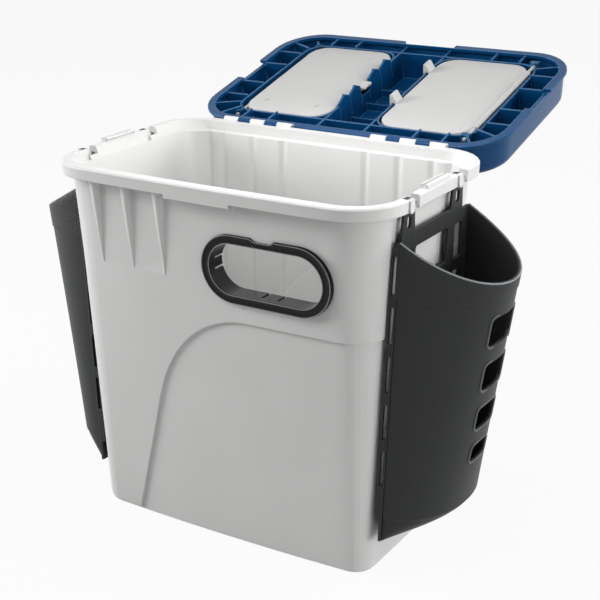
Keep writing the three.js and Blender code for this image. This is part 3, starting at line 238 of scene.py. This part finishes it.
# The light blue along the lid's sharp edges is a painted highlight on the rounded rib tops.
lid_plastic = plastic(
    "lid_plastic", srgb(6, 57, 100), roughness=0.3, grain=700, grain_strength=0.2, edge=0.9,
    wear_and_highlight=srgb(96, 160, 204), gloss=0.2,
)
cover_plastic = plastic(
    "cover_plastic", srgb(177, 177, 176), roughness=0.5, grain=900, grain_strength=0.2, edge=2.2,
)
pocket_plastic = plastic(
    "pocket_plastic", srgb(41, 42, 43), roughness=0.5, grain=500, grain_strength=0.5, edge=0.8,
    wear_and_highlight=srgb(92, 95, 98), mottle=0.1, gloss=0.25, pebbles_above=COLLAR_HEIGHT,
)
bead_plastic = plastic(
    "bead_plastic", srgb(74, 77, 80), roughness=0.42, grain=500, grain_strength=0.3, edge=0.3, mottle=0.1,
)
# Light grey for the pocket's mouth lip: a painted highlight along its rounded edge.
painted_lip_highlight_plastic = plastic(
    "painted_lip_highlight_plastic", srgb(128, 131, 134), roughness=0.4, grain=500, grain_strength=0.3, edge=0.3, mottle=0.1,
)
ring_plastic = plastic(
    "ring_plastic", srgb(12, 13, 15), roughness=0.1, grain=600, grain_strength=0.04, edge=0.8, mottle=0.1,
    gloss=0.2,
)
# Light grey for thin beads that are painted highlights along the window ring's glossy edges.
painted_glint_plastic = plastic(
    "painted_glint_plastic", srgb(128, 130, 132), roughness=0.3, grain=600, grain_strength=0.05, edge=0.2,
)
pin_steel = plastic(
    "pin_steel", srgb(180, 182, 186), roughness=0.35, grain=900, grain_strength=0.2, edge=0.3,
)

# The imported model's nodes, by how their names start

FINISHES = {
    "tub": tub_plastic,
    "window_ring": ring_plastic,
    "hinge_pin": pin_steel,
    "lid": lid_plastic,
    "right_cover": cover_plastic,
    "left_cover": cover_plastic,
    "pocket": pocket_plastic,
}
SMOOTH_ANGLE = math.radians(28)
WELD_REACH = 0.01


def dress(item, material):
    """Gives a node's object its finish and smooth shading across shallow edges."""
    item.data.materials.clear()
    item.data.materials.append(material)
    item.data.shade_smooth()
    weld = item.modifiers.new("weld", "WELD")
    weld.merge_threshold = WELD_REACH * MM
    split = item.modifiers.new("split", "EDGE_SPLIT")
    split.split_angle = SMOOTH_ANGLE


for node_name, node_object in nodes.items():
    name_start = next(key for key in FINISHES if node_name.startswith(key))
    dress(node_object, FINISHES[name_start])

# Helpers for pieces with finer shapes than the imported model


def eased(share):
    """Runs smoothly from 0 to 1 while share does."""
    held = min(max(share, 0), 1)
    return held * held * (3 - 2 * held)


def full_turn(steps):
    """Angles at even steps round a circle."""
    return [2 * math.pi * step / steps for step in range(steps)]


def half_turn(steps):
    """Angles at even steps from one side over the middle to the other."""
    return [math.pi * (step / steps - 0.5) for step in range(steps + 1)]


def spread(low, high, steps):
    """Values at even steps from low to high, with both ends."""
    return [low + (high - low) * step / steps for step in range(steps + 1)]


def closed_strip(first, second):
    """Faces between two rings of point numbers of the same length."""
    count = len(first)
    return [
        (first[at], first[(at + 1) % count], second[(at + 1) % count], second[at]) for at in range(count)
    ]


def make_piece(name, points, faces, side=1):
    """A mesh object from points in millimetres. Side -1 gives the mirror image in x."""
    mesh = bpy.data.meshes.new(name)
    placed = [Vector((side * x, y, z)) * MM for x, y, z in points]
    mesh.from_pydata(placed, [], faces)
    form = bmesh.new()
    form.from_mesh(mesh)
    bmesh.ops.recalc_face_normals(form, faces=form.faces)
    form.to_mesh(mesh)
    form.free()
    piece = bpy.data.objects.new(name, mesh)
    bpy.context.scene.collection.objects.link(piece)
    return piece


def prism(name, rings, side=1):
    """A closed solid through rings of points of the same length."""
    count = len(rings[0])
    points = [point for ring in rings for point in ring]
    numbers = [list(range(at * count, (at + 1) * count)) for at in range(len(rings))]
    faces = [face for low, high in zip(numbers, numbers[1:]) for face in closed_strip(low, high)]
    faces += [numbers[0][::-1], numbers[-1]]
    return make_piece(name, points, faces, side)


def block(name, low, high):
    """A box between two corners, for cutting and joining."""
    (x0, y0, z0), (x1, y1, z1) = low, high
    rings = [[(x0, y0, z), (x1, y0, z), (x1, y1, z), (x0, y1, z)] for z in (z0, z1)]
    return prism(name, rings)


def rounded_outline(width, height, radius, steps):
    """Points round a rectangle with round corners, about its middle."""
    points = []
    for corner in range(4):
        x_sign = 1 if corner in (0, 3) else -1
        z_sign = 1 if corner < 2 else -1
        for step in range(steps + 1):
            angle = (corner + step / steps) * math.pi / 2
            x = x_sign * (width / 2 - radius) + radius * math.cos(angle)
            z = z_sign * (height / 2 - radius) + radius * math.sin(angle)
            points.append((x, z))
    return points


BEAD_SIDES = 10


def make_bead(name, path, radius, side=1, closed=True):
    """A round bead along a path of (place, outward direction) pairs."""
    points = []
    count = len(path)
    for at, (place, outward) in enumerate(path):
        ahead = (at + 1) % count if closed else min(at + 1, count - 1)
        behind = at - 1 if closed else max(at - 1, 0)
        run = (Vector(path[ahead][0]) - Vector(path[behind][0])).normalized()
        across = run.cross(outward).normalized()
        for angle in full_turn(BEAD_SIDES):
            points.append(Vector(place) + radius * (math.cos(angle) * outward + math.sin(angle) * across))
    rings = [list(range(at * BEAD_SIDES, (at + 1) * BEAD_SIDES)) for at in range(count)]
    faces = []
    for at in range(0 if closed else 1, count):
        faces += closed_strip(rings[at - 1], rings[at])
    if not closed:
        faces += [rings[0], rings[-1]]
    return make_piece(name, points, faces, side)


def combine(piece, others, operation):
    """Cuts closed objects off a piece (DIFFERENCE) or adds them to it (UNION), and uses them up."""
    for other in others:
        step = piece.modifiers.new("step", "BOOLEAN")
        step.operation = operation
        step.solver = "EXACT"
        step.object = other
    view = bpy.context.evaluated_depsgraph_get()
    mesh = bpy.data.meshes.new_from_object(piece.evaluated_get(view))
    piece.modifiers.clear()
    piece.data = mesh
    for other in others:
        bpy.data.objects.remove(other)


def finish_piece(piece, material, slot, body, *replaced):
    piece.data.materials.clear()
    piece.data.materials.append(material)
    piece.data.shade_smooth()
    piece.data.set_sharp_from_angle(angle=SMOOTH_ANGLE)
    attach(piece, body)
    if replaced:
        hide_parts(*replaced)


# Side pockets: half an ellipse off the wall, narrower and deeper towards the mouth. The pairs give a size at
# the bottom and at the back of the mouth, which falls away from the wall by MOUTH_FALL and eases off.
# Below the low band the skin is set in by a step and curves in to the foot. The collar above stands proud.

POCKET_BACK = 2.8
POCKET_FOOT_X = 152.83
POCKET_LEAN = 0.0443
POCKET_MIDDLE = -2.8
POCKET_BOTTOM = 36.0
POCKET_WALL = 2.4
POCKET_FOOT = 3.0
HALF_WIDTHS = (70.5, 65.0)
DEPTHS = (46.3, 79.8)
LEAST_DEPTH = 0.05
BELLY_POWER = 1.5
LOW_BAND = 58.0
LOW_STEP = 0.9
COLLAR_PROUD = 0.8
MOUTH_BACK = 311.0
MOUTH_FALL = 0.573
MOUTH_EASE = 0.075
MOUTH_TRIES = 12
LIP_ROUND = 0.8
LIP_CORNER = 0.24
LIP_INNER_CORNER = 0.32
LIP_RADIUS = 0.75
ROUND_STEPS = 72
BELLY_ROWS = 14
BAND_ROWS = 16
COLLAR_ROWS = 6


def along(pair, z):
    """A size at a height, between the pair's two."""
    share = (z - POCKET_BOTTOM) / (MOUTH_BACK - POCKET_BOTTOM)
    return pair[0] + (pair[1] - pair[0]) * share


def belly_depth(z):
    """How far the skin stands off at a height, drawn in to the foot below the low band."""
    drop = min(max((LOW_BAND - z) / (LOW_BAND - POCKET_BOTTOM), 0), 1)
    fullness = (1 - drop**BELLY_POWER) ** (1 / BELLY_POWER)
    return POCKET_FOOT + (along(DEPTHS, z) - POCKET_FOOT) * fullness


def mouth_height(reach):
    return MOUTH_BACK - MOUTH_FALL * reach + MOUTH_EASE * reach**2 / DEPTHS[1]


def shell_point(angle, z, inset, depth_at=None):
    """A place on the pocket's skin, moved inward by inset, at an angle from the pocket's middle.

    The skin stands off as far as it does at z, or at the height depth_at where that is given.
    """
    depth = max(belly_depth(z if depth_at is None else depth_at) - inset, LEAST_DEPTH)
    x = POCKET_BACK + depth * math.cos(angle)
    y = POCKET_MIDDLE + (along(HALF_WIDTHS, z) - inset) * math.sin(angle)
    return (x + POCKET_LEAN * z + POCKET_FOOT_X, y, z)


def mouth_at(angle, inset):
    """The height at which the skin meets the sloping mouth."""
    z = MOUTH_BACK
    for _ in range(MOUTH_TRIES):
        z = mouth_height(math.cos(angle) * (along(DEPTHS, z) - inset))
    return z


def shell_column(angle):
    """Points up the outside and down the inside of the pocket's wall at one angle."""
    belly_height = LOW_BAND - POCKET_BOTTOM
    belly = [POCKET_BOTTOM + belly_height * (row / BELLY_ROWS) ** 2 for row in range(BELLY_ROWS + 1)]
    band_start = LOW_BAND + LOW_STEP
    proud = -COLLAR_PROUD
    top = mouth_at(angle, proud)
    outside = [shell_point(angle, z, LOW_STEP) for z in belly]
    for z in spread(band_start, COLLAR_HEIGHT - COLLAR_PROUD, BAND_ROWS):
        outside.append(shell_point(angle, z, 0))
    for z in spread(COLLAR_HEIGHT, top - LIP_ROUND, COLLAR_ROWS):
        outside.append(shell_point(angle, z, proud))
    outside.append(shell_point(angle, top - LIP_CORNER, proud + LIP_CORNER))
    outside.append(shell_point(angle, mouth_at(angle, 0), proud + LIP_ROUND))
    inner_top = mouth_at(angle, POCKET_WALL)
    inside = [shell_point(angle, inner_top, POCKET_WALL - LIP_INNER_CORNER)]
    for z in spread(inner_top - LIP_ROUND, band_start + POCKET_WALL, BAND_ROWS):
        inside.append(shell_point(angle, z, POCKET_WALL))
    for z in reversed(belly):
        inside.append(shell_point(angle, z + POCKET_WALL, POCKET_WALL + LOW_STEP, z))
    return outside + inside


# Slots in the pocket's skin, from the top down: height of the middle, width and height

SLOT_ROWS = [(230.0, 44.0, 27.0), (187.3, 39.5, 25.5), (146.5, 34.5, 21.5), (111.0, 29.5, 17.0)]
SLOT_RADIUS = 4.5
SLOT_STEPS = 8
SLOT_BEAD_RADIUS = 1.15


def slot_outline(row, grown=0.0):
    middle, width, height = row
    outline = rounded_outline(width + 2 * grown, height + 2 * grown, SLOT_RADIUS + grown, SLOT_STEPS)
    return [(y + POCKET_MIDDLE, z + middle) for y, z in outline]


def cut_slots(skin, side):
    near = POCKET_FOOT_X + POCKET_BACK + DEPTHS[0] / 2
    far = POCKET_FOOT_X + 2 * DEPTHS[1]
    cutters = []
    for row in SLOT_ROWS:
        rings = [[(x, y, z) for y, z in slot_outline(row)] for x in (near, far)]
        cutters.append(prism("slot_cut", rings, side))
    combine(skin, cutters, "DIFFERENCE")


def skin_place(y, z):
    """A place on the outside of the pocket with the direction that it faces."""
    angle = math.asin((y - POCKET_MIDDLE) / along(HALF_WIDTHS, z))
    outward = Vector((math.cos(angle) / along(DEPTHS, z), math.sin(angle) / along(HALF_WIDTHS, z), 0))
    return shell_point(angle, z, 0), outward.normalized()


# Bosses inside the pocket, two in each row, where the pegs meet the skin

PEG_BOSS_RADIUS = 3.8
PEG_BOSS_LENGTH = 9.0
PEG_BOSS_SIDES = 24
PEG_BOSS_INSET = 5.4
PEG_BOSS_SINK = 0.2
PEG_HEIGHTS = (78.0, 144.0, 210.0)


def peg_boss(middle_y, middle_z, side):
    rings = []
    for out in (PEG_BOSS_SINK, PEG_BOSS_SINK + PEG_BOSS_LENGTH):
        ring = []
        for angle in full_turn(PEG_BOSS_SIDES):
            y = middle_y + PEG_BOSS_RADIUS * math.cos(angle)
            z = middle_z + PEG_BOSS_RADIUS * math.sin(angle)
            ring.append((POCKET_FOOT_X + POCKET_BACK + out + POCKET_LEAN * z, y, z))
        rings.append(ring)
    return prism("boss", rings, side)


def add_peg_bosses(skin, side):
    bosses = []
    for z in PEG_HEIGHTS:
        reach = along(HALF_WIDTHS, z) - PEG_BOSS_INSET
        bosses += [peg_boss(POCKET_MIDDLE + end * reach, z, side) for end in (-1, 1)]
    combine(skin, bosses, "UNION")


def make_pocket(hand, side):
    """One pocket with its beads and lip. Side is 1 for the right hand and -1 for the left."""
    name = f"{hand}_pocket"
    body = f"{hand}_pocket_body"
    skin = prism(name, [shell_column(angle) for angle in half_turn(ROUND_STEPS)], side)
    cut_slots(skin, side)
    add_peg_bosses(skin, side)
    finish_piece(skin, pocket_plastic, "pocket_plastic", body, f"pocket_shell_{hand}")
    for number, row in enumerate(SLOT_ROWS, 1):
        path = [skin_place(y, z) for y, z in slot_outline(row, SLOT_BEAD_RADIUS)]
        bead = make_bead(f"{name}_slot_bead_{number}", path, SLOT_BEAD_RADIUS, side)
        finish_piece(bead, bead_plastic, "pocket_plastic", body)
    mouth = []
    for angle in half_turn(ROUND_STEPS):
        outward = Vector((math.cos(angle), math.sin(angle), 0))
        mouth.append((shell_point(angle, mouth_at(angle, 0), 0), outward))
    # The lip is a rounded bead on the mouth's edge, and its light grey is a painted highlight.
    lip = make_bead(f"{name}_lip", mouth, LIP_RADIUS, side, closed=False)
    finish_piece(lip, painted_lip_highlight_plastic, "pocket_plastic", body)


# The tub's walls where pieces sit on them: they lean outward towards the top, and the front is bowed.
# WALL_FRONT is where the front lies at the window's height, at its ends.

WINDOW_Z = 274.5
WALL_FRONT = -97.2
WALL_BOW = 3.7
WALL_HALF_WIDTH = 160.0
WALL_LEAN = 0.0455
TUB_WALL = 3.0


def front_wall(x, z):
    """Where the outside of the front wall lies."""
    return WALL_FRONT - WALL_BOW * (1 - (x / WALL_HALF_WIDTH) ** 2) + WALL_LEAN * (WINDOW_Z - z)


def rear_wall_inside(z):
    """Where the inside of the rear wall lies. That wall has no bow, like the very ends of the front wall."""
    return -front_wall(WALL_HALF_WIDTH, z) - TUB_WALL


# Window ring: a glossy band on the front wall with a dip in its top edge, and a sleeve through the wall.
# The profile starts at the back of the sleeve: distance outward from the opening, distance behind the front.

WINDOW_X = 60.7
RING_FRONT = -103.8
SLEEVE_LENGTH = 20.4
RING_BACK = RING_FRONT + SLEEVE_LENGTH
SLEEVE_WALL = 2.2
WALL_GAP = 0.1
BAND = 8.3
OPENING_RADIUS = 23.2
OPENING_HALF_RUN = 33.3
ARC_STEPS = 40
RUN_STEPS = 60
DIP_X = -1.7
DIP_HALF = 12.5
DIP_RAMP = 6.0
DIP_DEPTH = 3.2
DIP_SINK = 0.8
DIP_START = 2.0
BAND_PROFILE = [
    (0.0, SLEEVE_LENGTH), (0.0, 0.9), (0.4, 0.2), (1.1, 0.0), (2.4, 0.5), (5.2, 0.5),
    (6.4, 0.0), (7.5, 0.2), (8.2, 1.2), (BAND, 2.2),
]
# Thin light-grey beads along the front's inner and outer edges are painted highlights, standing in for lamp
# glints on the glossy ring.
PAINTED_GLINT_LINES = {"window_inner_painted_glint": 2, "window_outer_painted_glint": 7}
PAINTED_GLINT_RADIUS = 0.35
TAB_HALF = 7.0
TAB_DEEP = 3.0
TAB_REACH = 1.3
SLIT = 2.0
SLIT_FRONT = -95.0
END_SLIT_Z = 5.0


def opening_path():
    """Places on the opening's outline, with the direction that leads outward there."""
    path = []
    for end in (1, -1):
        for step in range(ARC_STEPS):
            angle = end * -math.pi / 2 + math.pi * step / ARC_STEPS
            out_x, out_z = math.cos(angle), math.sin(angle)
            x = end * OPENING_HALF_RUN + OPENING_RADIUS * out_x
            path.append((x, OPENING_RADIUS * out_z, out_x, out_z))
        for step in range(RUN_STEPS):
            x = end * OPENING_HALF_RUN * (1 - 2 * step / RUN_STEPS)
            path.append((x, end * OPENING_RADIUS, 0, end))
    return path


def band_section(x, z, out_x, out_z):
    """The ring's cross-section at one place of the opening's outline."""
    dip = eased((DIP_HALF - abs(x - DIP_X)) / DIP_RAMP) if out_z == 1 else 0

    def spot(outward, back=None):
        """A point of the section. Without a distance behind the front it lies on the wall."""
        outward -= DIP_DEPTH * dip * max(outward - DIP_START, 0) / (BAND - DIP_START)
        place_x = WINDOW_X + x + out_x * outward
        place_z = WINDOW_Z + z + out_z * outward
        if back is None:
            return (place_x, front_wall(place_x, place_z) - WALL_GAP, place_z)
        sink = DIP_SINK * dip if outward > DIP_START else 0
        return (place_x, RING_FRONT + back + sink + WALL_LEAN * (WINDOW_Z - place_z), place_z)

    outside = [spot(BAND), spot(SLEEVE_WALL), spot(SLEEVE_WALL, SLEEVE_LENGTH)]
    return [spot(*pair) for pair in BAND_PROFILE] + outside


def snap_tab(side):
    """The tab behind the wall above (side 1) or below (side -1) the sleeve."""
    edge = WINDOW_Z + side * (OPENING_RADIUS + SLEEVE_WALL)
    low, high = sorted((edge - side * SLEEVE_WALL / 2, edge + side * TAB_REACH))
    near = (WINDOW_X - TAB_HALF, RING_BACK - TAB_DEEP, low)
    far = (WINDOW_X + TAB_HALF, RING_BACK, high)
    return block("tab", near, far)


def sleeve_slits(side):
    """The slits beside a tab, and one at the left end of the sleeve."""
    edge = WINDOW_Z + side * (OPENING_RADIUS + SLEEVE_WALL)
    low, high = sorted((edge - side * 2 * SLEEVE_WALL, edge + side * SLEEVE_WALL))
    slits = []
    for end in (-1, 1):
        x = WINDOW_X + end * (TAB_HALF + SLIT / 2)
        slits.append(block("slit", (x - SLIT / 2, SLIT_FRONT, low), (x + SLIT / 2, RING_BACK + SLIT, high)))
    end_x = WINDOW_X - OPENING_HALF_RUN - OPENING_RADIUS
    z = WINDOW_Z + side * END_SLIT_Z
    near = (end_x - 2 * SLEEVE_WALL, SLIT_FRONT, z - SLIT / 2)
    far = (end_x + SLEEVE_WALL, RING_BACK + SLIT, z + SLIT / 2)
    slits.append(block("end_slit", near, far))
    return slits


def make_window_ring():
    path = opening_path()
    sections = [band_section(*place) for place in path]
    size = len(sections[0])
    points = [point for section in sections for point in section]
    rings = [list(range(at * size, (at + 1) * size)) for at in range(len(sections))]
    faces = [face for at in range(len(rings)) for face in closed_strip(rings[at - 1], rings[at])]
    ring = make_piece("window_band", points, faces)
    tabs = []
    slits = []
    for side in (-1, 1):
        tabs.append(snap_tab(side))
        slits += sleeve_slits(side)
    combine(ring, tabs, "UNION")
    combine(ring, slits, "DIFFERENCE")
    finish_piece(ring, ring_plastic, "ring_plastic", "tub_body", "window_ring")
    # Painted highlights: light-grey beads along the inner and outer edges of the ring's front.
    for name, at in PAINTED_GLINT_LINES.items():
        run = []
        for (_, _, out_x, out_z), section in zip(path, sections):
            run.append((section[at], Vector((out_x, -1, out_z)).normalized()))
        finish_piece(make_bead(name, run, PAINTED_GLINT_RADIUS), painted_glint_plastic, "ring_plastic", "tub_body")


# Inside of the rear wall: it stands a little proud between soft hollows that narrow downward

HOLLOW_PLACES = (46.0, 81.3, 116.6)
HOLLOW_HALF_WIDTHS = (3.4, 5.8)
LINER_HALF = 135.0
LINER_LOW = 150.0
LINER_HIGH = 335.5
LINER_PROUD = 1.7
LINER_ROOT = 0.6
LINER_END = 8.0
LINER_FADE = 60.0
LINER_COLUMNS = 200
LINER_ROWS = 24


def liner_proud(x, z):
    """How far the inside of the rear wall stands proud at a place."""
    rise = (z - LINER_LOW) / (LINER_HIGH - LINER_LOW)
    half = HOLLOW_HALF_WIDTHS[0] + (HOLLOW_HALF_WIDTHS[1] - HOLLOW_HALF_WIDTHS[0]) * rise
    hollow = min(eased(abs(abs(x) - place) / half) for place in HOLLOW_PLACES)
    end = eased((LINER_HALF - abs(x)) / LINER_END) * eased((z - LINER_LOW) / LINER_FADE)
    return LINER_PROUD * hollow * end


def make_rear_liner():
    across = spread(-LINER_HALF, LINER_HALF, LINER_COLUMNS)
    rings = []
    for z in spread(LINER_LOW, LINER_HIGH, LINER_ROWS):
        inside = rear_wall_inside(z)
        ring = [(x, inside - liner_proud(x, z), z) for x in across]
        ring += [(LINER_HALF, inside + LINER_ROOT, z), (-LINER_HALF, inside + LINER_ROOT, z)]
        rings.append(ring)
    liner = prism("rear_wall_inside", rings)
    finish_piece(liner, tub_plastic, "tub_plastic", "tub_body")


# Four small bosses on the left cover, placed with the lid shut and measured from its hinge.
# The rows give radius and height, from the foot to the tip.

COVER_BOSS_PLACES = [(-110.0, -173.0), (-50.0, -172.0), (-109.5, -55.0), (-49.5, -54.0)]
COVER_BOSS_ROWS = [(2.5, 2.9), (2.4, 2.3), (1.9, 2.05), (1.1, 1.95), (0.4, 1.92)]
COVER_BOSS_SIDES = 32
HINGE_Y = 109.9
HINGE_Z = 346.4
LID_COSINE = 0.969
LID_SINE = 0.247


def on_lid(x, y, z):
    """A place given with the lid shut and measured from its hinge, carried to the open lid."""
    return (x, HINGE_Y - LID_COSINE * y + LID_SINE * z, HINGE_Z - LID_SINE * y - LID_COSINE * z)


def make_cover_bosses():
    for number, (x, y) in enumerate(COVER_BOSS_PLACES, 1):
        rings = []
        for radius, z in COVER_BOSS_ROWS:
            ring = []
            for angle in full_turn(COVER_BOSS_SIDES):
                ring.append(on_lid(x + radius * math.cos(angle), y + radius * math.sin(angle), z))
            rings.append(ring)
        boss = prism(f"left_cover_boss_{number}", rings)
        finish_piece(boss, cover_plastic, "cover_plastic", "left_cover_body")


# Floor and surroundings: white where they are seen or mirrored, and dim where they light the box

WHITE = (1, 1, 1, 1)
FLOOR_HALF = 12.0
FLOOR_WHITE = 0.93
FLOOR_GREY = (0.55, 0.55, 0.55, 1)
FLOOR_ROUGHNESS = 0.9
FILL_STRENGTH = 0.06
WHITE_STRENGTH = 1.0


def seen_directly(tree):
    """1 where a surface is looked at, also in a mirror or through glass, and 0 where it lights others."""
    rays = add_node(tree, "ShaderNodeLightPath")
    found = rays.outputs["Is Camera Ray"]
    for kind in ("Is Glossy Ray", "Is Transmission Ray"):
        either = add_node(tree, "ShaderNodeMath", operation="MAXIMUM")
        tree.links.new(found, either.inputs[0])
        tree.links.new(rays.outputs[kind], either.inputs[1])
        found = either.outputs[0]
    return found


def make_floor():
    mesh = bpy.data.meshes.new("floor")
    corners = [(-1, -1), (1, -1), (1, 1), (-1, 1)]
    mesh.from_pydata([(FLOOR_HALF * x, FLOOR_HALF * y, 0) for x, y in corners], [], [(0, 1, 2, 3)])
    floor = bpy.data.objects.new("floor", mesh)
    bpy.context.scene.collection.objects.link(floor)
    material = bpy.data.materials.new("floor_white")
    material.use_nodes = True
    tree = material.node_tree
    matte = tree.nodes["Principled BSDF"]
    matte.inputs["Base Color"].default_value = FLOOR_GREY
    matte.inputs["Roughness"].default_value = FLOOR_ROUGHNESS
    glow = add_node(tree, "ShaderNodeEmission")
    share = add_node(tree, "ShaderNodeMath", operation="MULTIPLY")
    share.inputs[1].default_value = FLOOR_WHITE
    blend = add_node(tree, "ShaderNodeMixShader")
    tree.links.new(seen_directly(tree), share.inputs[0])
    tree.links.new(share.outputs[0], blend.inputs["Fac"])
    tree.links.new(matte.outputs["BSDF"], blend.inputs[1])
    tree.links.new(glow.outputs["Emission"], blend.inputs[2])
    tree.links.new(blend.outputs["Shader"], tree.nodes["Material Output"].inputs["Surface"])
    mesh.materials.append(material)


def make_world():
    world = bpy.data.worlds.new("world")
    bpy.context.scene.world = world
    world.use_nodes = True
    tree = world.node_tree
    fill = tree.nodes["Background"]
    fill.inputs["Color"].default_value = WHITE
    fill.inputs["Strength"].default_value = FILL_STRENGTH
    white = add_node(tree, "ShaderNodeBackground")
    white.inputs["Color"].default_value = WHITE
    white.inputs["Strength"].default_value = WHITE_STRENGTH
    blend = add_node(tree, "ShaderNodeMixShader")
    tree.links.new(seen_directly(tree), blend.inputs["Fac"])
    tree.links.new(fill.outputs["Background"], blend.inputs[1])
    tree.links.new(white.outputs["Background"], blend.inputs[2])
    tree.links.new(blend.outputs["Shader"], tree.nodes["World Output"].inputs["Surface"])


# Lamps, in metres and watts. One that isn't mirrored gives no reflection in glossy surfaces.

MIDDLE = (0.0, 0.0, 0.2)
LAMPS = {
    "front_top_light": {
        "place": (-0.3, -1.3, 2.2), "target": MIDDLE, "size": (1.2, 1.2), "watts": 13, "mirrored": True,
    },
    "opening_light": {
        "place": (0.05, 0.0, 0.95), "target": (0.0, 0.06, 0.3), "size": (0.35, 0.25), "watts": 0.75,
        "mirrored": True,
    },
    "left_light": {
        "place": (-1.9, -0.7, 0.9), "target": MIDDLE, "size": (0.7, 0.9), "watts": 41, "mirrored": True,
    },
    "right_light": {
        "place": (2.1, 0.0, 0.5), "target": MIDDLE, "size": (1.0, 0.8), "watts": 20, "mirrored": False,
    },
    "front_right_light": {
        "place": (1.9, -1.2, 0.9), "target": MIDDLE, "size": (1.0, 1.4), "watts": 3.5, "mirrored": False,
    },
    "rear_right_light": {
        "place": (1.6, 1.5, 1.2), "target": MIDDLE, "size": (1.2, 1.2), "watts": 36, "mirrored": False,
    },
    "inner_light": {
        "place": (0.02, -0.06, 0.52), "target": (0.02, 0.12, 0.3), "size": (0.26, 0.06), "watts": 0.4,
        "mirrored": True,
    },
    "pocket_light": {
        "place": (0.3, -0.05, 0.75), "target": (0.2, 0.0, 0.25), "size": (0.2, 0.2), "watts": 0.8,
        "mirrored": True,
    },
    "glint_light": {
        "place": (-0.68, -0.78, 1.38), "target": (0.06, -0.1, 0.27), "size": (0.5, 0.06), "watts": 1.4,
        "mirrored": True,
    },
}


def make_lamp(name, place, target, size, watts, mirrored):
    data = bpy.data.lights.new(name, "AREA")
    data.shape = "RECTANGLE"
    data.size, data.size_y = size
    data.energy = watts
    lamp = bpy.data.objects.new(name, data)
    lamp.location = place
    lamp.rotation_mode = "QUATERNION"
    lamp.rotation_quaternion = (Vector(target) - Vector(place)).to_track_quat("-Z", "Y")
    lamp.visible_glossy = mirrored
    bpy.context.scene.collection.objects.link(lamp)


make_pocket("right", 1)
make_pocket("left", -1)
make_window_ring()
make_rear_liner()
make_cover_bosses()
make_camera()
make_floor()
make_world()
for lamp_name, lamp_settings in LAMPS.items():
    make_lamp(lamp_name, **lamp_settings)

bpy.context.scene.view_settings.view_transform = "Standard"
